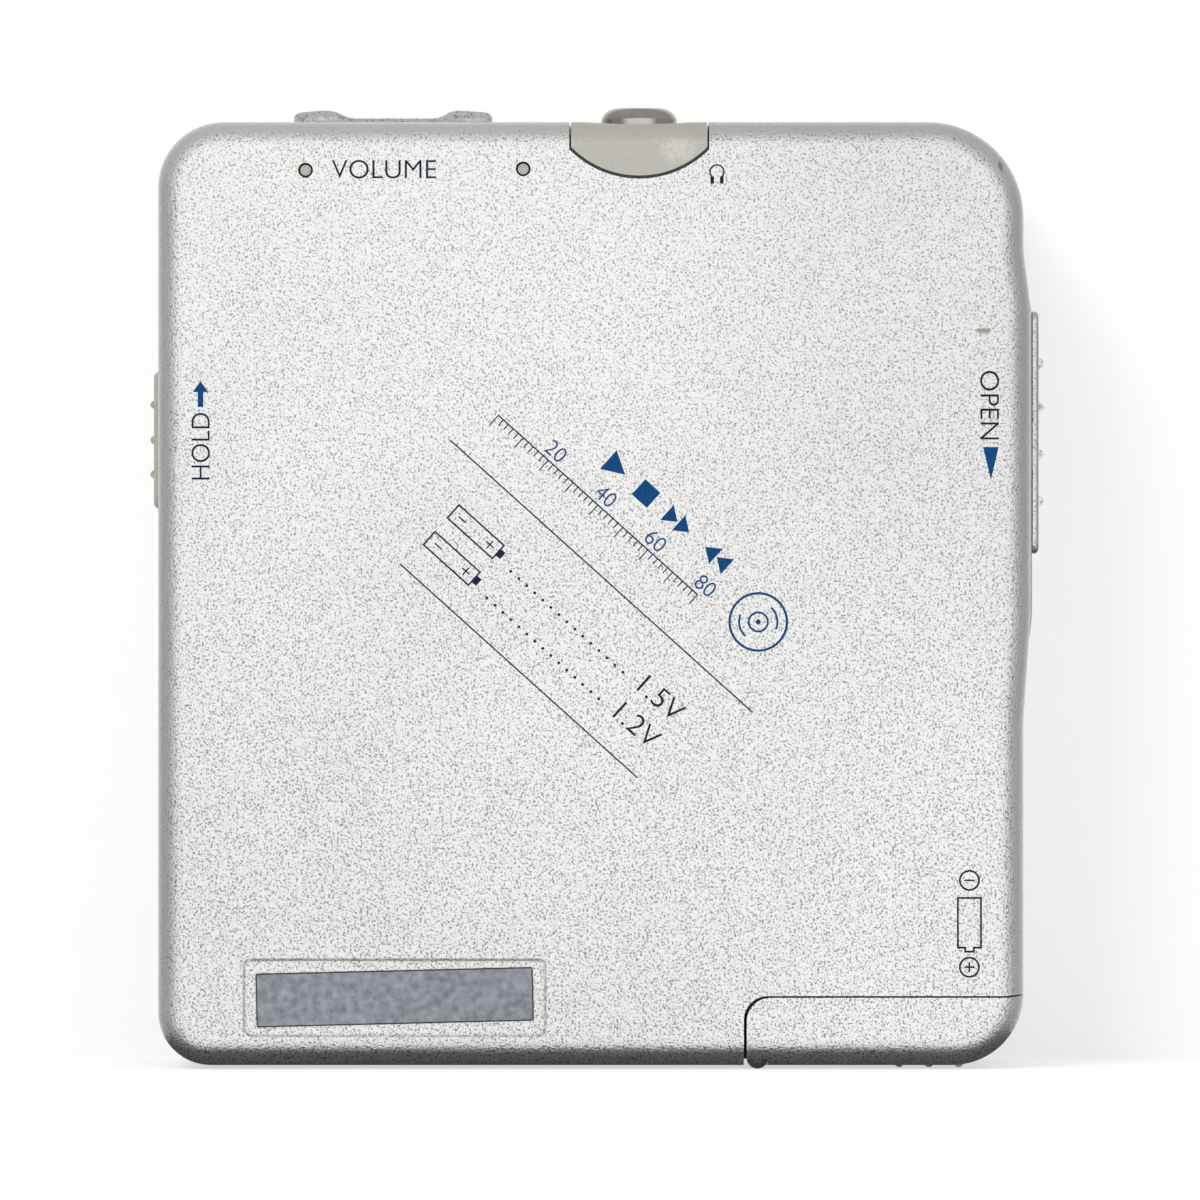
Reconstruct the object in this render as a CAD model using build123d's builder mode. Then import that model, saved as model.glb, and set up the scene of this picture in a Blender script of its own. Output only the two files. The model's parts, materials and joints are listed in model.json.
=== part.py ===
from build123d import *
import math
import os

os.makedirs("parts", exist_ok=True)

# ---------------------------------------------------------------------------
# Frame: X across the player, Z up its height, Y through its thickness.
# The rear face looks towards -Y, the lid towards +Y. All sizes are in mm.
# The origin is under the middle of the bottom edge, level with its ridges.
# ---------------------------------------------------------------------------

# Rounding of the closed player
edge_round = 2.2
corner_top_left = 5.5
corner_top_right = 8.0
corner_bottom_left = 4.4
corner_bottom_right = 6.0
cover_swell = 0.6
frame_swell = 1.05
swell_blend = 12.0
ridge_height = 0.3

# Media and supplies that the player takes
cartridge_width = 68.0
cartridge_length = 72.0
cartridge_thickness = 5.0
cell_diameter = 14.5
cell_length = 50.5
plug_radius = 1.75

# Walls and sheets
cover_wall = 0.8
lid_wall = 0.7
frame_wall = 1.5
deck_wall = 0.5
chassis_sheet = 0.5
holder_sheet = 0.3

# Clearances
parting_gap = 0.3
seam_gap = 0.2
running_gap = 0.05
slot_gap = 0.2
cell_gap = 0.35
cartridge_gap = 0.1
switch_gap = 0.35

# Room left round the cartridge and the cell
side_room = 2.25
foot_room = 1.9
hinge_room = 5.1
lid_room = 0.8

# Outer size, worked out from what the player takes
body_width = cartridge_width + 2 * side_room
body_height = foot_room + cartridge_length + hinge_room
bay_stack = cover_wall + cell_diameter + 2 * cell_gap + deck_wall
holder_stack = parting_gap + cartridge_thickness + cartridge_gap + 2 * holder_sheet
body_depth = bay_stack + holder_stack + lid_room + lid_wall

# Places worked out from the sizes
half_width = body_width / 2
bottom_z = ridge_height
top_z = bottom_z + body_height
rear_y = -body_depth / 2
front_y = body_depth / 2
cell_x = half_width - cover_wall - cell_gap - cell_diameter / 2
cell_y = rear_y + cover_wall + cell_gap + cell_diameter / 2
deck_low_y = cell_y + cell_diameter / 2 + cell_gap
parting_y = deck_low_y + deck_wall
lid_rim_y = parting_y + parting_gap
holder_low_y = parting_y + parting_gap
cartridge_y = holder_low_y + holder_sheet
holder_high_y = cartridge_y + cartridge_thickness + cartridge_gap
cover_depth = 11.5
cover_rim_y = rear_y + cover_depth
cover_inner_y = rear_y + cover_wall
inner_chamfer = 1.0
band_y = cover_rim_y + seam_gap
cartridge_z = bottom_z + foot_room
disc_z = cartridge_z + cartridge_length / 2
hinge_y = parting_y - 1.8
hinge_z = top_z - 2.6


def across(y):
    """Plane across the thickness at height y: its x is X, its y is Z, and it faces the rear."""
    return Plane.XZ.offset(-y)


def from_side(x):
    """Plane at width x that faces +X: its x is Y, its y is Z."""
    return Plane.YZ.offset(x)


def from_top(z):
    """Plane at height z that faces up: its x is X, its y is Y."""
    return Plane.XY.offset(z)


def body_outline(swell):
    """The player's outline: four different corners, and a swell along the right edge."""
    bottom_left = (-half_width, bottom_z)
    bottom_right = (half_width, bottom_z)
    top_right = (half_width, top_z)
    top_left = (-half_width, top_z)
    swell_points = [
        (half_width, bottom_z + 28.9),
        (half_width + swell, bottom_z + 37.5),
        (half_width + swell, top_z - 15.4),
        (half_width, top_z - 10.8),
    ]
    corner_radii = (
        (bottom_left, corner_bottom_left),
        (bottom_right, corner_bottom_right),
        (top_right, corner_top_right),
        (top_left, corner_top_left),
    )
    with BuildSketch() as outline:
        with BuildLine():
            Polyline(bottom_left, bottom_right, *swell_points, top_right, top_left, close=True)
        make_face()
        for corner, radius in corner_radii:
            fillet(outline.vertices().sort_by_distance(corner)[0], radius=radius)
        for corner in swell_points:
            fillet(outline.vertices().sort_by_distance(corner)[0], radius=swell_blend)
    return outline.sketch


def inner_outline(swell, inset):
    """The same outline, moved inwards by a wall."""
    return offset(body_outline(swell), amount=-inset, mode=Mode.PRIVATE)


def case_block(rim_y, end_y, inset=0.0):
    """The case from a rim to its closed end, moved inwards by a wall, with the end's edge rounded."""
    with BuildPart() as block:
        with BuildSketch(across(rim_y)):
            if inset:
                add(inner_outline(cover_swell, inset))
            else:
                add(body_outline(cover_swell))
        extrude(amount=rim_y - end_y)
        end_edges = block.edges().group_by(Axis.Y)[0 if end_y < rim_y else -1]
        if inset:
            chamfer(end_edges, length=inner_chamfer)
        else:
            fillet(end_edges, radius=edge_round)
    return block.part


# ---------------------------------------------------------------------------
# Battery door outline, shared by the door and the opening that it fills
# ---------------------------------------------------------------------------
door_left_x = 12.8
door_top_z = bottom_z + 5.85
door_corner = 2.0
door_gap = 0.15
door_left_gap = 0.24
door_lift = 0.5
knuckle_radius = 0.9
door_pin_radius = 0.4
door_pin_x = door_left_x + door_left_gap + knuckle_radius
knuckle_proud = 0.25
door_pin_z = bottom_z + knuckle_radius - knuckle_proud
door_left_share = door_left_gap / door_gap


def door_region(gap):
    """The corner that the door closes, seen from the rear, drawn in by a gap."""
    left = door_left_x + door_left_share * gap
    top = door_top_z - gap
    beyond = half_width + 3.0
    with BuildSketch() as region:
        with BuildLine():
            Polyline(
                (left, bottom_z - 3.0),
                (left, top),
                (half_width - 1.4, top),
                (beyond, top + door_lift),
                (beyond, bottom_z - 3.0),
                close=True,
            )
        make_face()
        fillet(region.vertices().sort_by_distance((left, top))[0], radius=door_corner)
    return region.sketch


# ---------------------------------------------------------------------------
# Jack cover outline, shared by the cover and its recess
# ---------------------------------------------------------------------------
jack_x = 4.05
jack_y = rear_y + 6.0
jack_cover_half = 5.85
jack_cover_straight = 2.3
jack_cover_drop = 4.7
jack_cover_reach = 10.3
jack_ring_radius = 3.2
jack_ring_rise = 1.25
jack_dish_depth = 0.45
jack_dish_radius = 6.2
jack_bore = plug_radius + running_gap
board_high_y = jack_y - 3.0
board_sheet = 0.8
board_low_y = board_high_y - board_sheet


def jack_cover_region(gap):
    """The tongue that hangs over the top edge, seen from the rear, drawn in by a gap."""
    half = jack_cover_half - gap
    side_z = top_z - jack_cover_straight
    with BuildSketch() as region:
        with BuildLine():
            Line((jack_x - half, side_z), (jack_x - half, top_z + 3.0))
            Line((jack_x - half, top_z + 3.0), (jack_x + half, top_z + 3.0))
            Line((jack_x + half, top_z + 3.0), (jack_x + half, side_z))
            ThreePointArc(
                (jack_x + half, side_z),
                (jack_x, top_z - jack_cover_drop + gap),
                (jack_x - half, side_z),
            )
        make_face()
    return region.sketch


# ---------------------------------------------------------------------------
# Controls: places and sizes shared by knobs, slots and switches
# ---------------------------------------------------------------------------
rocker_x = -16.6
rocker_half = 8.3
rocker_y = rear_y + 6.4
rocker_width = 3.6
rocker_rise = 0.4
hump_rise = 0.95
rocker_tilt = 2.0
rocker_pivot_z = top_z - 3.2

knob_y = band_y + 2.4
knob_width = 3.0
stem_width = 1.4
knob_thickness = 0.65
open_thickness = 0.5
open_knob_low_z = top_z - 36.1
open_knob_high_z = top_z - 15.6
open_travel = 2.0
hold_knob_low_z = top_z - 32.3
hold_knob_high_z = top_z - 20.7
hold_travel = 2.0

key_z = bottom_z + 11.0
key_height = 4.4
key_rise = 0.5
key_travel = 0.3
key_flange = 0.4
key_widths = {"skip_back_key": 6.0, "play_key": 9.0, "skip_forward_key": 6.0, "stop_key": 6.0}
key_pitch_gap = 1.6

# Screws and locating pegs
screw_head_radius = 0.9
screw_head_height = 0.35
screw_shank_radius = 0.5
screw_length = 2.2
screw_dish_radius = 1.5
screw_proud = 0.12
screw_y = cover_rim_y - 2.0
band_screw_y = band_y + 1.6
top_screw_x = -5.4
bottom_screw_x = -9.2
right_screw_heights = (bottom_z + 12.7, top_z - 10.2)
screw_seats = (
    Location((half_width, band_screw_y, right_screw_heights[0]), (0, 90, 0)),
    Location((half_width, band_screw_y, right_screw_heights[1]), (0, 90, 0)),
    Location((top_screw_x, screw_y, top_z), (0, 0, 0)),
    Location((bottom_screw_x, screw_y, bottom_z), (180, 0, 0)),
)
peg_radius = 0.45
peg_hole_radius = 0.62
peg_places = ((-23.85, top_z - 4.1), (-5.65, top_z - 4.0))

# Label recess
label_x = -16.4
label_z = bottom_z + 5.75
label_frame_width = 25.4
label_frame_height = 6.5
label_recess_depth = 0.25
label_width = 23.2
label_height = 4.5
label_tilt = 1.4
label_sheet = 0.12

# ---------------------------------------------------------------------------
# Rear cover: one drawn metal shell, open towards the lid
# ---------------------------------------------------------------------------
with BuildPart() as rear_cover:
    add(case_block(cover_rim_y, rear_y))
    add(case_block(cover_rim_y, cover_inner_y, cover_wall), mode=Mode.SUBTRACT)
    # The corner that the battery door closes
    with BuildSketch(across(cover_rim_y + 1)):
        add(door_region(0))
    extrude(amount=cover_depth + 2, mode=Mode.SUBTRACT)
    # The recess for the jack cover, over the rounded top edge
    with BuildSketch(across(rear_y + jack_cover_reach)):
        add(jack_cover_region(0))
    extrude(amount=jack_cover_reach + 1, mode=Mode.SUBTRACT)
    # The slot for the volume rocker
    with BuildSketch(from_top(top_z + 1)):
        with Locations((rocker_x, rocker_y)):
            RectangleRounded(2 * (rocker_half + slot_gap), rocker_width + 2 * slot_gap, 0.6)
    extrude(amount=-3, mode=Mode.SUBTRACT)
    # Holes for the locating pegs of the frame
    with BuildSketch(across(rear_y + 2)):
        with Locations(*peg_places):
            Circle(peg_hole_radius)
    extrude(amount=3, mode=Mode.SUBTRACT)
    # The sunk frame of the label, with its shallow rim
    with BuildSketch(across(rear_y + label_recess_depth)):
        with Locations((label_x, label_z)):
            RectangleRounded(label_frame_width, label_frame_height, 0.6)
    extrude(amount=1, mode=Mode.SUBTRACT)
    # Dished seats of the side screws
    with Locations(*screw_seats):
        CounterSinkHole(
            radius=screw_shank_radius + running_gap,
            counter_sink_radius=screw_dish_radius,
            depth=cover_wall + 1,
            counter_sink_angle=120,
        )
rear_cover.part.label = "rear_cover"
export_step(rear_cover.part, "parts/rear_cover.step")

# ---------------------------------------------------------------------------
# Middle frame: the moulded band between cover and lid, with the deck over the
# battery bay, the locating lip, the hinge ears and the slots of both knobs
# ---------------------------------------------------------------------------
lip_depth = 3.6
lip_wall = 0.9
bay_side_x = cell_x - cell_diameter / 2 - cell_gap - 0.6
bay_wall = 0.6
bay_end_z = bottom_z + 60.0
hinge_pin_radius = 0.75
hinge_ring_radius = 1.7
ear_width = 1.0
ear_inner_x = 24.2
holder_arm_width = 0.9
lid_arm_width = 1.2
hinge_side_gap = 0.3
holder_arm_x = ear_inner_x + ear_width + hinge_side_gap
ear_middle_x = holder_arm_x + holder_arm_width + hinge_side_gap
lid_arm_x = ear_middle_x + ear_width + hinge_side_gap
ear_outer_x = lid_arm_x + lid_arm_width + hinge_side_gap
hinge_end_x = ear_outer_x + ear_width
hinge_pocket_depth = 2.2
band_wall_z = top_z - frame_wall
chassis_high_y = parting_y - 0.3
chassis_low_y = chassis_high_y - chassis_sheet
chassis_gap = 0.3
chassis_right_x = bay_side_x - 0.3
hinge_rebate = 0.9
hinge_notch = 1.6
stem_length = 4.0
hold_stem_z = hold_knob_low_z + 3.3
open_stem_z = open_knob_low_z + 7.1
hook_low_z = open_stem_z + 5.0
hook_width = 1.6
hook_sheet = 0.6
hook_x = half_width - 1.4
hook_nose = 0.8
hook_top_y = lid_rim_y + 2.6

with BuildPart() as middle_frame:
    with BuildSketch(across(parting_y)):
        add(body_outline(frame_swell))
        add(inner_outline(frame_swell, frame_wall), mode=Mode.SUBTRACT)
    extrude(amount=parting_y - band_y)
    # Lip that locates the rear cover from inside, left away beside the battery
    with BuildSketch(across(band_y)):
        add(inner_outline(cover_swell, cover_wall + running_gap))
        add(inner_outline(cover_swell, cover_wall + running_gap + lip_wall), mode=Mode.SUBTRACT)
        with Locations((half_width, bottom_z + 30)):
            Rectangle(2 * (half_width - bay_side_x), 64, mode=Mode.SUBTRACT)
        with Locations((jack_x, top_z)):
            Rectangle(2 * jack_cover_half + 1, 6, mode=Mode.SUBTRACT)
        with Locations((rocker_x, top_z)):
            Rectangle(2 * rocker_half + 5, 6, mode=Mode.SUBTRACT)
    extrude(amount=lip_depth + seam_gap)
    # Deck over the battery bay
    with BuildSketch(across(parting_y)):
        add(inner_outline(frame_swell, frame_wall / 2))
        with Locations((bay_side_x, (bottom_z + bay_end_z) / 2)):
            Rectangle(
                4 * half_width,
                bay_end_z - bottom_z + bay_wall,
                align=(Align.MIN, Align.CENTER),
                mode=Mode.INTERSECT,
            )
    extrude(amount=deck_wall)
    # The corner that the battery door closes, below the deck
    with BuildSketch(across(deck_low_y)):
        add(door_region(0))
    extrude(amount=cover_depth, mode=Mode.SUBTRACT)
    # Rebate along the hinge edge, so that the lid can swing over it
    with BuildSketch(across(parting_y + 1)):
        with Locations((0, top_z)):
            Rectangle(2 * body_width, 2 * (frame_wall + 0.3))
    extrude(amount=hinge_rebate + 1, mode=Mode.SUBTRACT)
    for side in (-1, 1):
        # Three ears that carry each hinge pin
        for ear_x in (ear_inner_x, ear_middle_x, ear_outer_x):
            with BuildSketch(from_side(side * (ear_x + ear_width / 2))):
                with Locations((hinge_y, hinge_z)):
                    Circle(hinge_ring_radius)
                with Locations((hinge_y, hinge_z)):
                    Rectangle(
                        2 * hinge_ring_radius,
                        top_z - frame_wall / 2 - hinge_z,
                        align=(Align.CENTER, Align.MIN),
                    )
            extrude(amount=ear_width / 2, both=True)
        # Notch that the lid arm swings through
        with BuildSketch(across(parting_y + 1)):
            with Locations((side * (lid_arm_x + lid_arm_width / 2), top_z)):
                Rectangle(lid_arm_width + 2 * hinge_side_gap, 2 * (frame_wall + 0.5))
        extrude(amount=hinge_notch + 1, mode=Mode.SUBTRACT)
        # Pocket round the arms' eyes, inside the band
        with BuildSketch(across(hinge_y - hinge_ring_radius - hinge_side_gap)):
            with Locations((side * (lid_arm_x + lid_arm_width / 2), hinge_z)):
                Rectangle(lid_arm_width + 2 * hinge_side_gap, 2 * (hinge_ring_radius + 0.25))
            with Locations((side * (holder_arm_x + holder_arm_width / 2), hinge_z)):
                Rectangle(holder_arm_width + 2 * hinge_side_gap, 2 * (hinge_ring_radius + 0.25))
        extrude(amount=-(2 * hinge_ring_radius + 3), mode=Mode.SUBTRACT)
    # Bores of the two hinge pins
    with BuildSketch(from_side(0)):
        with Locations((hinge_y, hinge_z)):
            Circle(hinge_pin_radius)
    extrude(amount=half_width - frame_wall, both=True, mode=Mode.SUBTRACT)
    # Seat of the door pin in the deck
    with BuildSketch(across(parting_y)):
        with Locations((door_pin_x, door_pin_z)):
            Circle(door_pin_radius)
    extrude(amount=deck_wall, mode=Mode.SUBTRACT)
    # Slots for the stems of the two side knobs
    with BuildSketch(from_side(-half_width)):
        with Locations((knob_y, hold_stem_z - slot_gap)):
            Rectangle(
                stem_width + 2 * slot_gap,
                stem_length + hold_travel + 2 * slot_gap,
                align=(Align.CENTER, Align.MIN),
            )
    extrude(amount=2 * frame_wall, both=True, mode=Mode.SUBTRACT)
    with BuildSketch(from_side(half_width)):
        with Locations((knob_y, open_stem_z - open_travel - slot_gap)):
            Rectangle(
                stem_width + 2 * slot_gap,
                stem_length + open_travel + 2 * slot_gap,
                align=(Align.CENTER, Align.MIN),
            )
    extrude(amount=2 * frame_wall, both=True, mode=Mode.SUBTRACT)
    # Slot in the deck for the latch hook
    with BuildSketch(across(parting_y)):
        with Locations((hook_x - slot_gap, hook_low_z - open_travel - slot_gap)):
            Rectangle(
                hook_sheet + 2 * slot_gap,
                hook_width + open_travel + 2 * slot_gap,
                align=(Align.MIN, Align.MIN),
            )
    extrude(amount=deck_wall, mode=Mode.SUBTRACT)
    # Dished seats of the band screws, and pilot holes for all case screws
    with Locations(*screw_seats[:2]):
        CounterSinkHole(
            radius=screw_shank_radius,
            counter_sink_radius=screw_dish_radius,
            depth=screw_length,
            counter_sink_angle=120,
        )
    with Locations(*screw_seats[2:]):
        Hole(radius=screw_shank_radius, depth=screw_length)
middle_frame.part.label = "middle_frame"
export_step(middle_frame.part, "parts/middle_frame.step")

# ---------------------------------------------------------------------------
# Battery tray: the moulded side and end of the battery bay
# ---------------------------------------------------------------------------
tray_low_z = door_top_z + 0.4
bay_depth = deck_low_y - cover_inner_y
pin_ear_y = cover_inner_y + 0.2
pin_ear_depth = 0.8

with BuildPart() as battery_tray:
    # Side wall between the battery and the board
    with BuildSketch(across(deck_low_y)):
        with Locations((bay_side_x, tray_low_z)):
            Rectangle(bay_wall, bay_end_z + bay_wall - tray_low_z, align=(Align.MIN, Align.MIN))
    extrude(amount=bay_depth)
    # End wall behind the spring contact
    with BuildSketch(across(deck_low_y)):
        with Locations((bay_side_x, bay_end_z)):
            Rectangle(
                half_width - cover_wall - inner_chamfer - bay_side_x,
                bay_wall,
                align=(Align.MIN, Align.MIN),
            )
    extrude(amount=bay_depth)
    # Foot along the board side, and the arm with the ear of the door pin
    with BuildSketch(across(pin_ear_y)):
        with Locations((door_pin_x - knuckle_radius, tray_low_z)):
            Rectangle(bay_side_x - door_pin_x + knuckle_radius, 2.4, align=(Align.MIN, Align.MIN))
        with Locations((door_pin_x, door_pin_z)):
            Circle(knuckle_radius)
            Rectangle(2 * knuckle_radius, tray_low_z + 1 - door_pin_z, align=(Align.CENTER, Align.MIN))
            Circle(door_pin_radius, mode=Mode.SUBTRACT)
    extrude(amount=-pin_ear_depth)
    # Two ribs that stiffen the side wall
    with BuildSketch(across(board_low_y - seam_gap)):
        with Locations((bay_side_x, bay_end_z - 36.0), (bay_side_x, bay_end_z - 14.0)):
            Rectangle(1.6, bay_wall, align=(Align.MAX, Align.CENTER))
    extrude(amount=board_low_y - seam_gap - cover_inner_y)
battery_tray.part.label = "battery_tray"
export_step(battery_tray.part, "parts/battery_tray.step")

# ---------------------------------------------------------------------------
# Chassis: the pressed plate that carries the drive, with tabs for the rods
# ---------------------------------------------------------------------------
chassis_top_z = hinge_z - hinge_ring_radius - 0.8
chassis_bottom_z = bottom_z + 3.0
turntable_radius = 5.4
turntable_gap = 0.7
rod_radius = 0.9
rod_y = chassis_low_y - 2.7
rod_pitch = 22.0
rod_outer_x = -(half_width - frame_wall) + 1.45
rod_inner_x = -7.6
tab_sheet = 0.8
tab_width = 3.4
lens_rest_x = -15.0
eye_half_x = 3.0
tab_gap = 0.4
sled_travel = -rod_outer_x - tab_sheet / 2 - eye_half_x - tab_gap + lens_rest_x
lens_holder_half = 2.9
window_half_z = 5.6
gear_module = 0.4
rack_z = disc_z + 15.0
drive_teeth = 12
wheel_teeth = 36
motor_teeth = 10
gear_backlash = 0.14
tooth_pitch = math.pi * gear_module
tooth_addendum = 0.75 * gear_module
tooth_dedendum = 0.95 * gear_module
tooth_height = tooth_addendum + tooth_dedendum
tooth_offset = (tooth_dedendum - tooth_addendum) / 2
tooth_flank = 70.0
tooth_root_width = tooth_pitch / 2 - gear_backlash + 2 * tooth_dedendum / math.tan(math.radians(tooth_flank))
drive_radius = gear_module * drive_teeth / 2
wheel_radius = gear_module * wheel_teeth / 2
motor_gear_radius = gear_module * motor_teeth / 2
drive_x = -14.0
drive_z = rack_z + drive_radius
motor_x = drive_x + wheel_radius + motor_gear_radius
post_radius = 0.6
chassis_screw_radius = 0.6
chassis_screw_head = 1.15
chassis_screw_places = (
    (-30.5, disc_z + 26.0),
    (-30.5, disc_z - 27.0),
    (14.5, disc_z + 31.5),
    (14.5, disc_z - 29.0),
)

with BuildPart() as chassis:
    with BuildSketch(across(chassis_high_y)):
        add(inner_outline(frame_swell, frame_wall + chassis_gap))
        with Locations((chassis_right_x, chassis_bottom_z)):
            Rectangle(
                2 * body_width,
                chassis_top_z - chassis_bottom_z,
                align=(Align.MAX, Align.MIN),
                mode=Mode.INTERSECT,
            )
        add(door_region(-chassis_gap), mode=Mode.SUBTRACT)
        # Round the turntable, and the window that the lens travels along
        with Locations((0, disc_z)):
            Circle(turntable_radius + turntable_gap, mode=Mode.SUBTRACT)
        with Locations((lens_rest_x - sled_travel / 2, disc_z)):
            RectangleRounded(
                sled_travel + 2 * lens_holder_half + 0.8,
                2 * window_half_z,
                0.8,
                mode=Mode.SUBTRACT,
            )
        with Locations(*chassis_screw_places):
            Circle(chassis_screw_radius + running_gap, mode=Mode.SUBTRACT)
        # Lightening cut-outs under the holder
        with Locations((2.0, disc_z - 24.0), (2.0, disc_z + 27.0)):
            SlotOverall(16, 5, mode=Mode.SUBTRACT)
    extrude(amount=chassis_sheet)
    # Tabs bent down to hold the ends of both guide rods
    with BuildSketch(across(chassis_low_y)):
        with Locations(((rod_outer_x + rod_inner_x) / 2, disc_z)):
            with GridLocations(rod_inner_x - rod_outer_x, rod_pitch, 2, 2):
                Rectangle(tab_sheet, tab_width)
    extrude(amount=chassis_low_y - rod_y + tab_width / 2)
    for side in (-1, 1):
        with BuildSketch(from_side(0)):
            with Locations((rod_y, disc_z + side * rod_pitch / 2)):
                Circle(rod_radius)
        extrude(amount=-(half_width - frame_wall), mode=Mode.SUBTRACT)
chassis.part.label = "chassis"
export_step(chassis.part, "parts/chassis.step")

with BuildPart() as guide_rods:
    for side in (-1, 1):
        with BuildSketch(from_side(rod_outer_x - tab_sheet / 2)):
            with Locations((rod_y, disc_z + side * rod_pitch / 2)):
                Circle(rod_radius)
        extrude(amount=rod_inner_x - rod_outer_x + tab_sheet)
guide_rods.part.label = "guide_rods"
export_step(guide_rods.part, "parts/guide_rods.step")

# ---------------------------------------------------------------------------
# Spindle: a flat motor under the chassis, its shaft and the turntable
# ---------------------------------------------------------------------------
motor_radius = 9.0
motor_height = 3.4
spindle_radius = 0.75
bush_radius = 2.0
turntable_low_y = chassis_high_y + 0.15
turntable_high_y = cartridge_y + 0.2
hub_radius = 2.6
hub_top_y = cartridge_y + 0.75

with BuildPart() as spindle_motor:
    with BuildSketch(across(chassis_low_y)):
        with Locations((0, disc_z)):
            Circle(motor_radius)
            Circle(turntable_radius + turntable_gap, mode=Mode.SUBTRACT)
    extrude(amount=motor_height)
    with BuildSketch(across(chassis_low_y - motor_height + 0.8)):
        with Locations((0, disc_z)):
            Circle(motor_radius)
    extrude(amount=0.8)
    chamfer(spindle_motor.edges().group_by(Axis.Y)[0], length=0.5)
    with BuildSketch(across(chassis_low_y - 0.2)):
        with Locations((0, disc_z)):
            Circle(bush_radius)
    extrude(amount=motor_height)
    with BuildSketch(across(chassis_high_y)):
        with Locations((0, disc_z)):
            Circle(spindle_radius + running_gap)
    extrude(amount=motor_height, mode=Mode.SUBTRACT)
spindle_motor.part.label = "spindle_motor"
export_step(spindle_motor.part, "parts/spindle_motor.step")

with BuildPart() as turntable:
    with BuildSketch(from_side(0)):
        with BuildLine():
            Polyline(
                (turntable_low_y, disc_z + spindle_radius),
                (turntable_low_y, disc_z + turntable_radius),
                (turntable_high_y - 0.3, disc_z + turntable_radius),
                (turntable_high_y, disc_z + turntable_radius - 0.3),
                (turntable_high_y, disc_z + hub_radius + 0.6),
                (turntable_high_y - 0.3, disc_z + hub_radius + 0.4),
                (turntable_high_y - 0.3, disc_z + hub_radius),
                (hub_top_y - 0.3, disc_z + hub_radius - 0.3),
                (hub_top_y, disc_z + hub_radius - 0.9),
                (hub_top_y, disc_z + spindle_radius),
                close=True,
            )
        make_face()
    revolve(axis=Axis((0, 0, disc_z), (0, 1, 0)))
turntable.part.label = "turntable"
export_step(turntable.part, "parts/turntable.step")

with BuildPart() as spindle_shaft:
    with BuildSketch(across(hub_top_y - 0.1)):
        with Locations((0, disc_z)):
            Circle(spindle_radius)
    extrude(amount=hub_top_y - 0.1 - chassis_low_y + motor_height - 1.0)
spindle_shaft.part.label = "spindle_shaft"
export_step(spindle_shaft.part, "parts/spindle_shaft.step")

# ---------------------------------------------------------------------------
# Pickup: the sled on its two rods, with its rack, and the lens on top
# ---------------------------------------------------------------------------
sled_half_x = 4.2
sled_half_z = 8.6
sled_low_y = chassis_low_y - 5.3
sled_high_y = chassis_low_y - 0.3
eye_radius = 1.75
rack_low_y = chassis_low_y - 3.4
rack_high_y = chassis_low_y - 2.0
rack_back = 1.2
rack_teeth = math.ceil((sled_travel + 4.0) / tooth_pitch)

with BuildPart() as pickup_sled:
    with BuildSketch(across(sled_high_y)):
        with Locations((lens_rest_x, disc_z)):
            RectangleRounded(2 * sled_half_x, 2 * sled_half_z, 1.2)
    extrude(amount=sled_high_y - sled_low_y)
    chamfer(pickup_sled.edges().group_by(Axis.Y)[0], length=0.5)
    # Arms out to the eyes that run on the rods
    with BuildSketch(across(rod_y + 1.0)):
        with Locations((lens_rest_x, disc_z)):
            Rectangle(2 * eye_half_x, rod_pitch)
    extrude(amount=1.6)
    for side in (-1, 1):
        with BuildSketch(from_side(lens_rest_x)):
            with Locations((rod_y, disc_z + side * rod_pitch / 2)):
                Circle(eye_radius)
        extrude(amount=eye_half_x, both=True)
    # Rack bar beside the upper rod
    with BuildSketch(across(rack_high_y)):
        with Locations((drive_x - tooth_pitch, rack_z - tooth_dedendum)):
            Rectangle(rack_teeth * tooth_pitch, rack_back, align=(Align.MIN, Align.MAX))
        with Locations((lens_rest_x, disc_z + rod_pitch / 2)):
            Rectangle(
                2 * eye_half_x,
                rack_z - tooth_dedendum - disc_z - rod_pitch / 2,
                align=(Align.CENTER, Align.MIN),
            )
        for i in range(rack_teeth):
            with Locations((drive_x + (i - 0.5) * tooth_pitch, rack_z - tooth_offset)):
                Trapezoid(tooth_root_width, tooth_height, tooth_flank)
    extrude(amount=rack_high_y - rack_low_y)
    for side in (-1, 1):
        with BuildSketch(from_side(0)):
            with Locations((rod_y, disc_z + side * rod_pitch / 2)):
                Circle(rod_radius + running_gap)
        extrude(amount=-half_width, mode=Mode.SUBTRACT)
pickup_sled.part.label = "pickup_sled"
export_step(pickup_sled.part, "parts/pickup_sled.step")

lens_radius = 1.6
lens_mount_radius = 2.5
lens_top_y = cartridge_y - 0.6

with BuildPart() as objective_lens:
    with BuildSketch(across(chassis_high_y + 0.1)):
        with Locations((lens_rest_x, disc_z)):
            RectangleRounded(2 * lens_holder_half, 2 * lens_holder_half + 1.6, 0.8)
    extrude(amount=chassis_high_y + 0.1 - sled_high_y)
    with BuildSketch(across(lens_top_y)):
        with Locations((lens_rest_x, disc_z)):
            Circle(lens_mount_radius)
    extrude(amount=lens_top_y - chassis_high_y - 0.1)
    with BuildSketch(across(lens_top_y)):
        with Locations((lens_rest_x, disc_z)):
            Circle(lens_radius)
    extrude(amount=0.25, mode=Mode.SUBTRACT)
objective_lens.part.label = "objective_lens"
export_step(objective_lens.part, "parts/objective_lens.step")


def gear_face(teeth, first_tooth, bore):
    """A spur gear seen along its axis, with one tooth at the given angle."""
    pitch_radius = gear_module * teeth / 2
    with BuildSketch() as face:
        Circle(pitch_radius - tooth_dedendum + 0.03)
        with PolarLocations(pitch_radius - tooth_offset, teeth, start_angle=first_tooth):
            Trapezoid(tooth_root_width, tooth_height, tooth_flank, rotation=-90)
        Circle(bore, mode=Mode.SUBTRACT)
    return face.sketch


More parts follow.
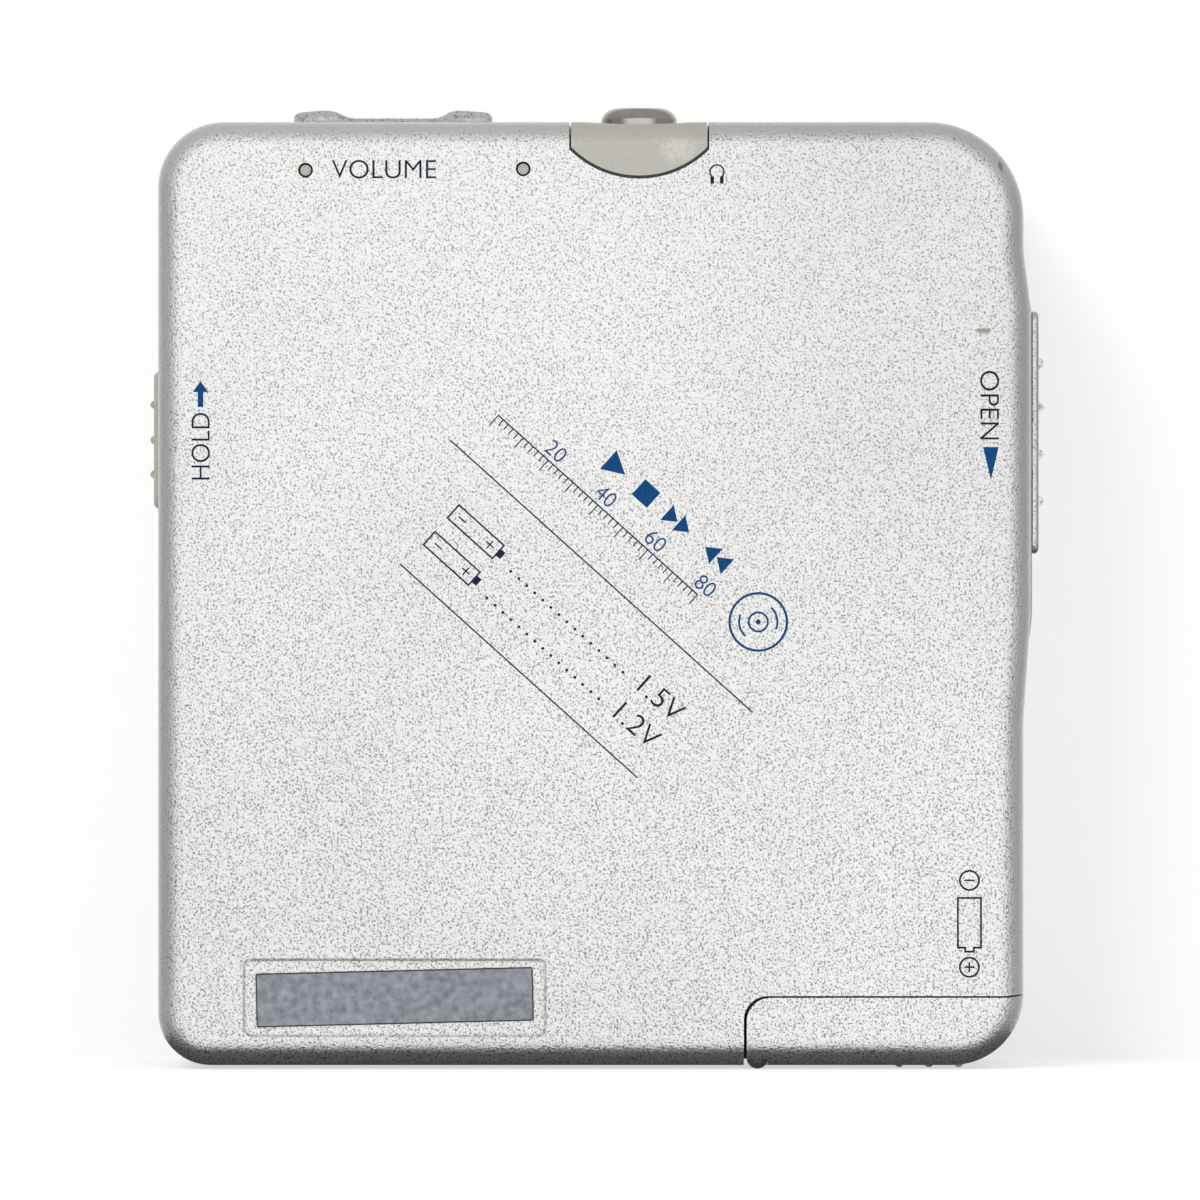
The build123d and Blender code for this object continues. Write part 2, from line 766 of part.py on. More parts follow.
# ---------------------------------------------------------------------------
# Sled drive: motor, its pinion, and the gear that turns on a post
# ---------------------------------------------------------------------------
wheel_high_y = chassis_low_y - 4.9
wheel_thickness = 0.9
pinion_high_y = rack_high_y
motor_body_radius = 4.6
motor_flange_y = wheel_high_y - wheel_thickness - 0.3
motor_flange = 0.5
motor_body_depth = 4.6
leg_radius = 0.8
motor_legs = ((motor_x + 6.2, drive_z), (motor_x, drive_z + 6.6))

with BuildPart() as gear_post:
    with BuildSketch(across(chassis_low_y)):
        with Locations((drive_x, drive_z)):
            Circle(post_radius)
    extrude(amount=chassis_low_y - wheel_high_y + wheel_thickness + 0.3)
    with BuildSketch(across(chassis_low_y)):
        with Locations((drive_x, drive_z)):
            Circle(post_radius + 0.9)
    extrude(amount=chassis_low_y - pinion_high_y - seam_gap)
gear_post.part.label = "gear_post"
export_step(gear_post.part, "parts/gear_post.step")

with BuildPart() as drive_gear:
    with BuildSketch(across(wheel_high_y)):
        with Locations((drive_x, drive_z)):
            add(gear_face(wheel_teeth, 0, post_radius + running_gap))
            with PolarLocations(wheel_radius * 0.62, 5):
                Circle(wheel_radius * 0.16, mode=Mode.SUBTRACT)
    extrude(amount=wheel_thickness)
    with BuildSketch(across(pinion_high_y)):
        with Locations((drive_x, drive_z)):
            add(gear_face(drive_teeth, -90, post_radius + running_gap))
    extrude(amount=pinion_high_y - wheel_high_y)
drive_gear.part.label = "drive_gear"
export_step(drive_gear.part, "parts/drive_gear.step")

with BuildPart() as motor_pinion:
    with BuildSketch(across(wheel_high_y + 0.2)):
        with Locations((motor_x, drive_z)):
            add(gear_face(motor_teeth, 180 + 180 / motor_teeth, 0.2))
            Circle(0.3)
    extrude(amount=wheel_thickness + 0.4)
    with BuildSketch(across(wheel_high_y)):
        with Locations((motor_x, drive_z)):
            Circle(0.5)
    extrude(amount=wheel_thickness + 1.2)
motor_pinion.part.label = "motor_pinion"
export_step(motor_pinion.part, "parts/motor_pinion.step")

with BuildPart() as sled_motor:
    with BuildSketch(across(motor_flange_y)):
        with Locations((motor_x, drive_z)):
            Circle(motor_body_radius)
        with Locations(*motor_legs):
            Circle(1.5)
        make_hull()
    extrude(amount=motor_flange)
    with BuildSketch(across(motor_flange_y - motor_flange)):
        with Locations((motor_x, drive_z)):
            Circle(motor_body_radius)
    extrude(amount=motor_body_depth)
    chamfer(sled_motor.edges().group_by(Axis.Y)[0], length=0.4)
    with BuildSketch(across(chassis_low_y)):
        with Locations(*motor_legs):
            Circle(leg_radius)
    extrude(amount=chassis_low_y - motor_flange_y)
    with BuildSketch(across(motor_flange_y + 1)):
        with Locations((motor_x, drive_z)):
            Circle(0.5 + running_gap)
    extrude(amount=3, mode=Mode.SUBTRACT)
sled_motor.part.label = "sled_motor"
export_step(sled_motor.part, "parts/sled_motor.step")

# ---------------------------------------------------------------------------
# Headphone jack: the socket on the board, the domed ring and the cover
# ---------------------------------------------------------------------------
jack_socket_depth = 13.0
jack_body_half_x = 3.4

with BuildPart() as jack_socket:
    with BuildSketch(from_top(top_z - 1.0)):
        with Locations((jack_x, jack_y)):
            RectangleRounded(2 * jack_body_half_x, 6.0, 0.5)
    extrude(amount=-jack_socket_depth)
    with BuildSketch(from_top(top_z - 1.0)):
        with Locations((jack_x, jack_y)):
            Circle(jack_bore)
    extrude(amount=-(jack_socket_depth - 0.8), mode=Mode.SUBTRACT)
jack_socket.part.label = "jack_socket"
export_step(jack_socket.part, "parts/jack_socket.step")

with BuildPart() as jack_ring:
    with BuildSketch(Plane.XZ.offset(-jack_y)):
        with BuildLine():
            Polyline(
                (jack_x + jack_bore, top_z - 1.0),
                (jack_x + jack_ring_radius, top_z - 1.0),
                (jack_x + jack_ring_radius, top_z + 0.35),
            )
            ThreePointArc(
                (jack_x + jack_ring_radius, top_z + 0.35),
                (jack_x + jack_ring_radius - 0.45, top_z + jack_ring_rise - 0.28),
                (jack_x + jack_ring_radius - 1.0, top_z + jack_ring_rise),
            )
            Polyline(
                (jack_x + jack_ring_radius - 1.0, top_z + jack_ring_rise),
                (jack_x + jack_bore + 0.2, top_z + jack_ring_rise - 0.15),
                (jack_x + jack_bore, top_z + jack_ring_rise - 0.4),
                (jack_x + jack_bore, top_z - 1.0),
            )
        make_face()
    revolve(axis=Axis((jack_x, jack_y, 0), (0, 0, 1)))
jack_ring.part.label = "jack_ring"
export_step(jack_ring.part, "parts/jack_ring.step")

with BuildPart() as jack_cover:
    # A slice of the case's own rounded edge
    add(case_block(rear_y + jack_cover_reach, rear_y))
    with BuildSketch(across(rear_y + jack_cover_reach + 1)):
        add(jack_cover_region(door_gap))
    extrude(amount=jack_cover_reach + 2, mode=Mode.INTERSECT)
    # Hollow behind the skin, and the hole that the ring stands in
    with BuildSketch(across(rear_y + jack_cover_reach)):
        with Locations((jack_x, top_z - cover_wall)):
            Rectangle(2 * jack_cover_half, 8, align=(Align.CENTER, Align.MAX))
    extrude(amount=jack_cover_reach - cover_wall, mode=Mode.SUBTRACT)
    with BuildSketch(from_top(top_z + 2)):
        with Locations((jack_x, jack_y)):
            Circle(jack_ring_radius + running_gap)
    extrude(amount=-3.5, mode=Mode.SUBTRACT)
    # Shallow dish round the ring
    with BuildSketch(across(jack_y)):
        with BuildLine():
            Polyline(
                (jack_x, top_z - jack_dish_depth),
                (jack_x + jack_ring_radius, top_z - jack_dish_depth),
                (jack_x + jack_dish_radius, top_z),
                (jack_x + jack_dish_radius, top_z + 1.0),
                (jack_x, top_z + 1.0),
                close=True,
            )
        make_face()
    revolve(axis=Axis((jack_x, jack_y, 0), (0, 0, 1)), mode=Mode.SUBTRACT)
jack_cover.part.label = "jack_cover"
export_step(jack_cover.part, "parts/jack_cover.step")

# ---------------------------------------------------------------------------
# Main board with its parts
# ---------------------------------------------------------------------------
board_low_z = bottom_z + 3.5
board_top_z = top_z - 1.4
board_left_x = -(half_width - cover_wall - 1.4)
board_right_x = bay_side_x - 0.3
chip_places = (
    ((-22.0, disc_z - 26.0), (10.0, 10.0, 1.2)),
    ((-6.5, disc_z - 26.5), (8.0, 8.0, 1.0)),
    ((8.0, disc_z - 25.0), (7.0, 12.0, 1.0)),
    ((12.5, disc_z + 10.0), (5.0, 9.0, 1.1)),
    ((-23.5, disc_z + 26.0), (6.0, 6.0, 1.4)),
)

with BuildPart() as main_board:
    with BuildSketch(across(board_high_y)):
        add(inner_outline(cover_swell, cover_wall + 1.4))
        with Locations((board_right_x, board_low_z)):
            Rectangle(
                2 * body_width,
                board_top_z - board_low_z,
                align=(Align.MAX, Align.MIN),
                mode=Mode.INTERSECT,
            )
        with Locations((door_left_x, bottom_z)):
            Rectangle(20, 2 * (tray_low_z - bottom_z + 3.0), mode=Mode.SUBTRACT)
    extrude(amount=board_sheet)
main_board.part.label = "main_board"
export_step(main_board.part, "parts/main_board.step")

with BuildPart() as board_parts:
    for place, (width, height, thick) in chip_places:
        with BuildSketch(across(board_high_y + thick)):
            with Locations(place):
                Rectangle(width, height)
        extrude(amount=thick)
board_parts.part.label = "board_parts"
export_step(board_parts.part, "parts/board_parts.step")

# ---------------------------------------------------------------------------
# Volume rocker, on a pivot under its middle, with a switch under each end
# ---------------------------------------------------------------------------
rocker_skirt_z = top_z - cover_wall - 0.45
rocker_skirt = 0.5
rocker_pivot_radius = 0.5
rocker_end = 0.5
hump_low = 3.6
hump_high = 1.0
switch_size = 3.0
switch_z = rocker_skirt_z - rocker_skirt - switch_gap

with BuildPart() as volume_rocker:
    with BuildSketch(across(rocker_y + rocker_width / 2)):
        with BuildLine():
            left = rocker_x - rocker_half
            right = rocker_x + rocker_half
            Polyline((left, top_z + rocker_end), (left, rocker_skirt_z - rocker_skirt))
            Polyline((left, rocker_skirt_z - rocker_skirt), (right, rocker_skirt_z - rocker_skirt))
            Polyline((right, rocker_skirt_z - rocker_skirt), (right, top_z + rocker_end))
            Spline(
                (right, top_z + rocker_end),
                (right - hump_high, top_z + hump_rise),
                (right - hump_low, top_z + hump_rise - 0.05),
                (right - hump_low - 1.6, top_z + rocker_rise),
                tangents=((-0.3, 1), (-1, 0)),
            )
            Line((right - hump_low - 1.6, top_z + rocker_rise), (left + hump_low + 1.6, top_z + rocker_rise))
            Spline(
                (left + hump_low + 1.6, top_z + rocker_rise),
                (left + hump_low, top_z + hump_rise - 0.05),
                (left + hump_high, top_z + hump_rise),
                (left, top_z + rocker_end),
                tangents=((-1, 0), (-0.3, -1)),
            )
        make_face()
    extrude(amount=rocker_width)
    # Skirt that keeps the rocker in its slot
    with BuildSketch(from_top(rocker_skirt_z)):
        with Locations((rocker_x, rocker_y)):
            RectangleRounded(2 * rocker_half + 2.0, rocker_width + 1.8, 0.5)
    extrude(amount=-rocker_skirt)
    # Rib and bore of the pivot
    with BuildSketch(across(rocker_y + rocker_width / 2)):
        with Locations((rocker_x, rocker_pivot_z)):
            Circle(1.0)
            Rectangle(2.0, rocker_skirt_z - rocker_pivot_z, align=(Align.CENTER, Align.MIN))
    extrude(amount=rocker_width)
    with BuildSketch(across(rocker_y + rocker_width / 2 + 1)):
        with Locations((rocker_x, rocker_pivot_z)):
            Circle(rocker_pivot_radius + running_gap)
    extrude(amount=rocker_width + 2, mode=Mode.SUBTRACT)
volume_rocker.part.label = "volume_rocker"
export_step(volume_rocker.part, "parts/volume_rocker.step")

# Bracket on the board that carries the rocker's pivot pin and both switches
bracket_low_y = board_high_y
bracket_sheet = 0.6
bracket_half_y = rocker_width / 2 + 0.25
bracket_eye = 1.0
bracket_top_z = rocker_pivot_z - 1.4
with BuildPart() as rocker_bracket:
    with BuildSketch(across(rocker_y + bracket_half_y + bracket_sheet)):
        with Locations((rocker_x, rocker_pivot_z)):
            Circle(bracket_eye)
            Rectangle(2 * bracket_eye, rocker_pivot_z - bracket_top_z, align=(Align.CENTER, Align.MAX))
    extrude(amount=bracket_sheet)
    with BuildSketch(across(rocker_y - bracket_half_y)):
        with Locations((rocker_x, rocker_pivot_z)):
            Circle(bracket_eye)
            Rectangle(2 * bracket_eye, rocker_pivot_z - bracket_top_z, align=(Align.CENTER, Align.MAX))
    extrude(amount=bracket_sheet)
    with BuildSketch(from_top(bracket_top_z)):
        with Locations((rocker_x, rocker_y + bracket_half_y + bracket_sheet)):
            Rectangle(
                2 * rocker_half,
                rocker_y + bracket_half_y + bracket_sheet - bracket_low_y,
                align=(Align.CENTER, Align.MAX),
            )
    extrude(amount=-bracket_sheet)
    with BuildSketch(across(rocker_y + bracket_half_y + bracket_sheet)):
        with Locations((rocker_x, rocker_pivot_z)):
            Circle(rocker_pivot_radius)
    extrude(amount=2 * (bracket_half_y + bracket_sheet))
rocker_bracket.part.label = "rocker_bracket"
export_step(rocker_bracket.part, "parts/rocker_bracket.step")

with BuildPart() as volume_switches:
    for side in (-1, 1):
        place = (rocker_x + side * (rocker_half - switch_size / 2), rocker_y)
        with BuildSketch(from_top(bracket_top_z)):
            with Locations(place):
                RectangleRounded(switch_size, switch_size, 0.4)
        extrude(amount=switch_z - 0.4 - bracket_top_z)
        with BuildSketch(from_top(switch_z - 0.4)):
            with Locations(place):
                Circle(0.8)
        extrude(amount=0.4)
volume_switches.part.label = "volume_switches"
export_step(volume_switches.part, "parts/volume_switches.step")

# ---------------------------------------------------------------------------
# Side knobs: HOLD on the left edge, OPEN with its latch hook on the right
# ---------------------------------------------------------------------------
hold_face_x = half_width + 0.1
open_face_x = half_width + frame_swell + 0.1
hold_ridge = 0.3
hold_ridge_radius = 0.35
open_ridge = 0.45
open_ridge_radius = 0.45
ridge_half_length = knob_width / 2 - 0.3
hold_ridge_x = hold_ridge_radius - hold_face_x - knob_thickness - hold_ridge
open_ridge_x = open_face_x + open_thickness + open_ridge - open_ridge_radius
hold_ridges = (2.9, 5.8, 8.8)
open_ridges = (4.4, 8.4, 12.4, 16.1)
keeper_sheet = 0.5

with BuildPart() as hold_knob:
    with BuildSketch(from_side(-hold_face_x)):
        with Locations((knob_y, (hold_knob_low_z + hold_knob_high_z) / 2)):
            RectangleRounded(knob_width, hold_knob_high_z - hold_knob_low_z, 1.3)
    extrude(amount=-knob_thickness)
    chamfer(hold_knob.edges().group_by(Axis.X)[0], length=0.25)
    with BuildSketch(across(knob_y + ridge_half_length)):
        for ridge_rise in hold_ridges:
            with Locations((hold_ridge_x, hold_knob_low_z + ridge_rise)):
                Circle(hold_ridge_radius)
    extrude(amount=2 * ridge_half_length)
    with BuildSketch(from_side(-hold_face_x)):
        with Locations((knob_y, hold_stem_z)):
            Rectangle(stem_width, stem_length, align=(Align.CENTER, Align.MIN))
    extrude(amount=hold_face_x - half_width + frame_wall + 0.1)
    with BuildSketch(from_side(-(half_width - frame_wall - 0.1))):
        with Locations((knob_y, hold_stem_z - 1.2)):
            Rectangle(stem_width + 1.4, stem_length + 2.4, align=(Align.CENTER, Align.MIN))
    extrude(amount=keeper_sheet)
hold_knob.part.label = "hold_knob"
export_step(hold_knob.part, "parts/hold_knob.step")

with BuildPart() as open_knob:
    with BuildSketch(from_side(open_face_x)):
        with Locations((knob_y, (open_knob_low_z + open_knob_high_z) / 2)):
            RectangleRounded(knob_width, open_knob_high_z - open_knob_low_z, 0.9)
    extrude(amount=open_thickness)
    chamfer(open_knob.edges().group_by(Axis.X)[-1], length=0.2)
    with BuildSketch(across(knob_y + ridge_half_length)):
        for ridge_rise in open_ridges:
            with Locations((open_ridge_x, open_knob_low_z + ridge_rise)):
                Circle(open_ridge_radius)
    extrude(amount=2 * ridge_half_length)
    with BuildSketch(from_side(open_face_x)):
        with Locations((knob_y, open_stem_z)):
            Rectangle(stem_width, stem_length, align=(Align.CENTER, Align.MIN))
    extrude(amount=-(open_face_x - hook_x - hook_sheet))
open_knob.part.label = "open_knob"
export_step(open_knob.part, "parts/open_knob.step")

with BuildPart() as latch_hook:
    # Flat slide behind the wall, with the finger that reaches up past the deck
    with BuildSketch(from_side(hook_x)):
        with Locations((knob_y, open_stem_z - 3.0)):
            Rectangle(
                knob_width - 0.4,
                hook_low_z + hook_width - open_stem_z + 3.0,
                align=(Align.CENTER, Align.MIN),
            )
        with Locations((knob_y, hook_low_z)):
            Rectangle(hook_top_y - knob_y, hook_width, align=(Align.MIN, Align.MIN))
        with Locations((hook_top_y, hook_low_z)):
            Rectangle(0.8, hook_width + hook_nose, align=(Align.MAX, Align.MIN))
    extrude(amount=hook_sheet)
latch_hook.part.label = "latch_hook"
export_step(latch_hook.part, "parts/latch_hook.step")

# ---------------------------------------------------------------------------
# Lid: the outer shell, its catch for the hook, the key membrane and the arms
# ---------------------------------------------------------------------------
arm_root_y = front_y - lid_wall
key_names = tuple(key_widths)
key_row_width = sum(key_widths.values()) + key_pitch_gap * (len(key_names) - 1)
key_places = {}
key_left = -key_row_width / 2
for name in key_names:
    key_places[name] = key_left + key_widths[name] / 2
    key_left += key_widths[name] + key_pitch_gap

with BuildPart() as lid_shell:
    add(case_block(lid_rim_y, front_y))
    add(case_block(lid_rim_y, front_y - lid_wall, lid_wall), mode=Mode.SUBTRACT)
    # Slots for the keys
    with BuildSketch(across(front_y + 1)):
        for name in key_names:
            with Locations((key_places[name], key_z)):
                RectangleRounded(key_widths[name] + 0.3, key_height + 0.3, 1.2)
    extrude(amount=lid_wall + 2, mode=Mode.SUBTRACT)
    # Catch that the latch hook holds
    with BuildSketch(across(hook_top_y - 1.1)):
        with Locations((hook_x, hook_low_z + hook_width + hook_nose + seam_gap)):
            Rectangle(
                half_width + cover_swell - lid_wall - hook_x + 0.2,
                1.8,
                align=(Align.MIN, Align.MIN),
            )
    extrude(amount=0.8)
lid_shell.part.label = "lid_shell"
export_step(lid_shell.part, "parts/lid_shell.step")

lid_arm_pad = 1.2
lid_arm_low_z = hinge_z - hinge_ring_radius
lid_arm_height = 2.0
with BuildPart() as lid_arms:
    for side in (-1, 1):
        near_x = side * (lid_arm_x if side > 0 else lid_arm_x + lid_arm_width)
        with BuildSketch(from_side(near_x)):
            with Locations((hinge_y, hinge_z)):
                Circle(hinge_ring_radius)
            with Locations((hinge_y, lid_arm_low_z)):
                Rectangle(arm_root_y - hinge_y, lid_arm_height, align=(Align.MIN, Align.MIN))
            with Locations((hinge_y, hinge_z)):
                Circle(hinge_pin_radius + running_gap, mode=Mode.SUBTRACT)
        extrude(amount=lid_arm_width)
        # Pad welded to the lid
        with BuildSketch(across(arm_root_y)):
            with Locations((near_x + lid_arm_width / 2, lid_arm_low_z)):
                Rectangle(
                    lid_arm_width + 2 * lid_arm_pad,
                    lid_arm_height - 0.6,
                    align=(Align.CENTER, Align.MIN),
                )
        extrude(amount=0.5)
lid_arms.part.label = "lid_arms"
export_step(lid_arms.part, "parts/lid_arms.step")

with BuildPart() as hinge_pins:
    for side in (-1, 1):
        near_x = ear_inner_x if side > 0 else -(ear_outer_x + ear_width)
        with BuildSketch(from_side(near_x)):
            with Locations((hinge_y, hinge_z)):
                Circle(hinge_pin_radius)
        extrude(amount=ear_outer_x + ear_width - ear_inner_x)
hinge_pins.part.label = "hinge_pins"
export_step(hinge_pins.part, "parts/hinge_pins.step")

# ---------------------------------------------------------------------------
# Disc holder: a folded sheet sleeve for the cartridge, open at the bottom edge
# ---------------------------------------------------------------------------
holder_half = cartridge_width / 2 + cartridge_gap + holder_sheet
holder_end_z = cartridge_z + cartridge_length + cartridge_gap
holder_rail = 7.0
holder_bridge = 9.0
holder_mouth_z = cartridge_z + 2.5
arm_reach_z = holder_end_z + holder_sheet

with BuildPart() as disc_holder:
    with BuildSketch(from_top(holder_mouth_z)):
        with Locations((0, holder_low_y)):
            Rectangle(
                2 * holder_half,
                holder_high_y + holder_sheet - holder_low_y,
                align=(Align.CENTER, Align.MIN),
            )
    extrude(amount=arm_reach_z - holder_mouth_z)
    offset(amount=-holder_sheet, openings=disc_holder.faces().sort_by(Axis.Z)[0])
    # Large window below for the turntable and the lens, and one above
    with BuildSketch(across(cartridge_y + 1)):
        with Locations((0, cartridge_z - 1)):
            Rectangle(
                2 * (holder_half - holder_rail),
                cartridge_length - holder_bridge,
                align=(Align.CENTER, Align.MIN),
            )
    extrude(amount=holder_sheet + 2, mode=Mode.SUBTRACT)
    with BuildSketch(across(holder_high_y + 2)):
        with Locations((0, cartridge_z - 1)):
            Rectangle(
                2 * (holder_half - holder_rail + 1),
                cartridge_length - 2 * holder_bridge,
                align=(Align.CENTER, Align.MIN),
            )
    extrude(amount=4, mode=Mode.SUBTRACT)
    # Window that uncovers the lens path on the left rail
    with BuildSketch(across(cartridge_y + 1)):
        with Locations((-(holder_half - holder_rail), disc_z)):
            RectangleRounded(2 * holder_rail - 3, 2 * window_half_z, 0.8)
    extrude(amount=holder_sheet + 2, mode=Mode.SUBTRACT)
    # Arms back to the hinge pins
    for side in (-1, 1):
        near_x = holder_arm_x if side > 0 else -(holder_arm_x + holder_arm_width)
        with BuildSketch(from_side(near_x)):
            with Locations((hinge_y, hinge_z)):
                Circle(hinge_ring_radius)
            with BuildLine():
                Polyline(
                    (hinge_y + hinge_pin_radius, hinge_z - hinge_ring_radius + 0.35),
                    (holder_low_y, arm_reach_z),
                    (holder_low_y + 3.0, arm_reach_z),
                    (hinge_y + hinge_ring_radius, hinge_z),
                    (hinge_y, hinge_z + hinge_ring_radius),
                    (hinge_y, hinge_z),
                    close=True,
                )
            make_face()
            with Locations((hinge_y, hinge_z)):
                Circle(hinge_pin_radius + running_gap, mode=Mode.SUBTRACT)
        extrude(amount=holder_arm_width)
disc_holder.part.label = "disc_holder"
export_step(disc_holder.part, "parts/disc_holder.step")

# ---------------------------------------------------------------------------
# Operation keys in the lid, and the membrane that they press on
# ---------------------------------------------------------------------------
key_under_y = front_y - lid_wall - key_flange
membrane_high_y = key_under_y - key_travel - 0.05
membrane_sheet = 0.2

for name in key_names:
    with BuildPart() as key:
        with BuildSketch(across(front_y + key_rise)):
            with Locations((key_places[name], key_z)):
                RectangleRounded(key_widths[name], key_height, 1.1)
        extrude(amount=key_rise + lid_wall + 0.1)
        chamfer(key.edges().group_by(Axis.Y)[-1], length=0.3)
        with BuildSketch(across(key_under_y + key_flange - 0.05)):
            with Locations((key_places[name], key_z)):
                RectangleRounded(key_widths[name] + 1.0, key_height + 1.2, 1.3)
        extrude(amount=key_flange - 0.05)
    key.part.label = name
    export_step(key.part, f"parts/{name}.step")

with BuildPart() as key_membrane:
    with BuildSketch(across(membrane_high_y)):
        with Locations((0, key_z)):
            RectangleRounded(key_row_width + 5.0, key_height + 3.4, 1.0)
    extrude(amount=membrane_sheet)
    # Side strips that stand on the lid, outside the row of keys
    with BuildSketch(across(front_y - lid_wall)):
        with Locations((0, key_z)):
            with GridLocations(key_row_width + 3.6, 0, 2, 1):
                Rectangle(1.2, key_height + 3.0)
    extrude(amount=front_y - lid_wall - membrane_high_y)
key_membrane.part.label = "key_membrane"
export_step(key_membrane.part, "parts/key_membrane.step")

# ---------------------------------------------------------------------------
# Battery door: a corner of the case that turns on a pin along the thickness
# ---------------------------------------------------------------------------
door_depth = deck_low_y - seam_gap - rear_y
door_wall = 0.9
grip_xs = (25.9, 28.4, 30.9)
grip_radius = 0.35
grip_length = 9.0
knuckle_low_y = pin_ear_y + pin_ear_depth + 0.2
contact_z = bottom_z + 3.6
contact_sheet = 0.3
ear_clearance = 0.15
ear_notch = 2.0

with BuildPart() as battery_door:
    add(case_block(rear_y + door_depth, rear_y))
    add(case_block(rear_y + door_depth, rear_y + door_wall, door_wall), mode=Mode.SUBTRACT)
    with BuildSketch(across(rear_y + door_depth + 1)):
        add(door_region(door_gap))
    extrude(amount=door_depth + 2, mode=Mode.INTERSECT)
    # Left web, from the pin's ear up to the deck
    with BuildSketch(across(rear_y + door_depth)):
        with Locations((door_left_x + door_left_gap, bottom_z)):
            Rectangle(door_wall, door_top_z - door_corner - bottom_z, align=(Align.MIN, Align.MIN))
        with Locations((door_pin_x, door_pin_z)):
            Circle(knuckle_radius)
    extrude(amount=rear_y + door_depth - knuckle_low_y)
    # The corner that turns past the cover is round about the pin
    with BuildSketch(across(rear_y + door_depth + 1)):
        with Locations((door_left_x, bottom_z - 1)):
            Rectangle(door_pin_x - door_left_x, door_pin_z - bottom_z + 1, align=(Align.MIN, Align.MIN))
        with Locations((door_pin_x, door_pin_z)):
            Circle(knuckle_radius, mode=Mode.SUBTRACT)
    extrude(amount=door_depth + 2, mode=Mode.SUBTRACT)
    # Clear of the ear, and the bore of the pin
    with BuildSketch(across(knuckle_low_y)):
        with Locations((door_pin_x, door_pin_z)):
            Circle(knuckle_radius + ear_clearance)
            Rectangle(2 * (knuckle_radius + ear_clearance), ear_notch, align=(Align.CENTER, Align.MIN))
    extrude(amount=knuckle_low_y - cover_inner_y, mode=Mode.SUBTRACT)
    with BuildSketch(across(rear_y + door_depth + 1)):
        with Locations((door_pin_x, door_pin_z)):
            Circle(door_pin_radius + running_gap)
    extrude(amount=rear_y + door_depth + 1 - cover_inner_y, mode=Mode.SUBTRACT)
    # Grip ridges on the bottom edge
    with BuildSketch(across(cell_y + 1.0 + grip_length / 2)):
        for grip_x in grip_xs:
            with Locations((grip_x, bottom_z - ridge_height + grip_radius)):
                Circle(grip_radius)
    extrude(amount=grip_length)
    # Two posts that carry the contact
    with BuildSketch(from_top(bottom_z + door_wall / 2)):
        with Locations((cell_x, cell_y)):
            with GridLocations(6.0, 0, 2, 1):
                Rectangle(1.2, 5.0)
    extrude(amount=contact_z - bottom_z - door_wall / 2)
battery_door.part.label = "battery_door"
export_step(battery_door.part, "parts/battery_door.step")

with BuildPart() as door_contact:
    with BuildSketch(from_top(contact_z)):
        with Locations((cell_x, cell_y)):
            RectangleRounded(8.0, 6.0, 0.6)
    extrude(amount=contact_sheet)
    with BuildSketch(from_top(contact_z + contact_sheet)):
        with Locations((cell_x, cell_y)):
            Circle(1.6)
    extrude(amount=0.25, taper=30)
door_contact.part.label = "door_contact"
export_step(door_contact.part, "parts/door_contact.step")

with BuildPart() as door_pin:
    with BuildSketch(across(parting_y - 0.1)):
        with Locations((door_pin_x, door_pin_z)):
            Circle(door_pin_radius)
    extrude(amount=parting_y - 0.1 - pin_ear_y)
door_pin.part.label = "door_pin"
export_step(door_pin.part, "parts/door_pin.step")

# Coiled contact for the flat end of the cell
coil_wire = 0.3
coil_turns_pitch = 1.25
coil_height = 3.8
coil_foot_radius = 4.2
with BuildPart() as coil_contact:
    with BuildLine():
        coil_path = Helix(
            pitch=coil_turns_pitch,
            height=coil_height,
            radius=coil_foot_radius,
            center=(cell_x, cell_y, bay_end_z - coil_wire),
            direction=(0, 0, -1),
            cone_angle=-28,
        )
    with BuildSketch(Plane(origin=coil_path @ 0, z_dir=coil_path % 0)):
        RegularPolygon(coil_wire, 6)
    sweep(is_frenet=True)
coil_contact.part.label = "coil_contact"
export_step(coil_contact.part, "parts/coil_contact.step")

# ---------------------------------------------------------------------------
# Fasteners, locating pegs and the blank label
# ---------------------------------------------------------------------------
with BuildPart() as screw_tool:
    with BuildSketch(Plane.XZ):
        with BuildLine():
            Polyline(
                (0, screw_proud),
                (screw_head_radius - 0.15, screw_proud),
                (screw_head_radius, screw_proud - 0.12),
                (screw_head_radius, screw_proud - screw_head_height),
                (screw_shank_radius, screw_proud - screw_head_height),
                (screw_shank_radius, -screw_length),
                (0, -screw_length),
                close=True,
            )
        make_face()
    revolve(axis=Axis.Z)

with BuildPart() as case_screws:
    with Locations(*screw_seats):
        add(screw_tool.part)
case_screws.part.label = "case_screws"
export_step(case_screws.part, "parts/case_screws.step")

with BuildPart() as chassis_screws:
    with BuildSketch(across(chassis_high_y)):
        with Locations(*chassis_screw_places):
            Circle(chassis_screw_head)
    extrude(amount=-0.2)
    with BuildSketch(across(chassis_high_y)):
        with Locations(*chassis_screw_places):
            Circle(chassis_screw_radius)
    extrude(amount=3.0)
chassis_screws.part.label = "chassis_screws"
export_step(chassis_screws.part, "parts/chassis_screws.step")

with BuildPart() as chassis_posts:
    with BuildSketch(across(chassis_low_y)):
        with Locations(*chassis_screw_places):
            Circle(1.8)
            Circle(chassis_screw_radius, mode=Mode.SUBTRACT)
    extrude(amount=chassis_low_y - board_high_y)
chassis_posts.part.label = "chassis_posts"
export_step(chassis_posts.part, "parts/chassis_posts.step")

with BuildPart() as locating_pegs:
    with BuildSketch(across(rear_y + 0.25)):
        with Locations(*peg_places):
            Circle(peg_radius)
    extrude(amount=-(board_low_y - rear_y - 0.25))
locating_pegs.part.label = "locating_pegs"
export_step(locating_pegs.part, "parts/locating_pegs.step")

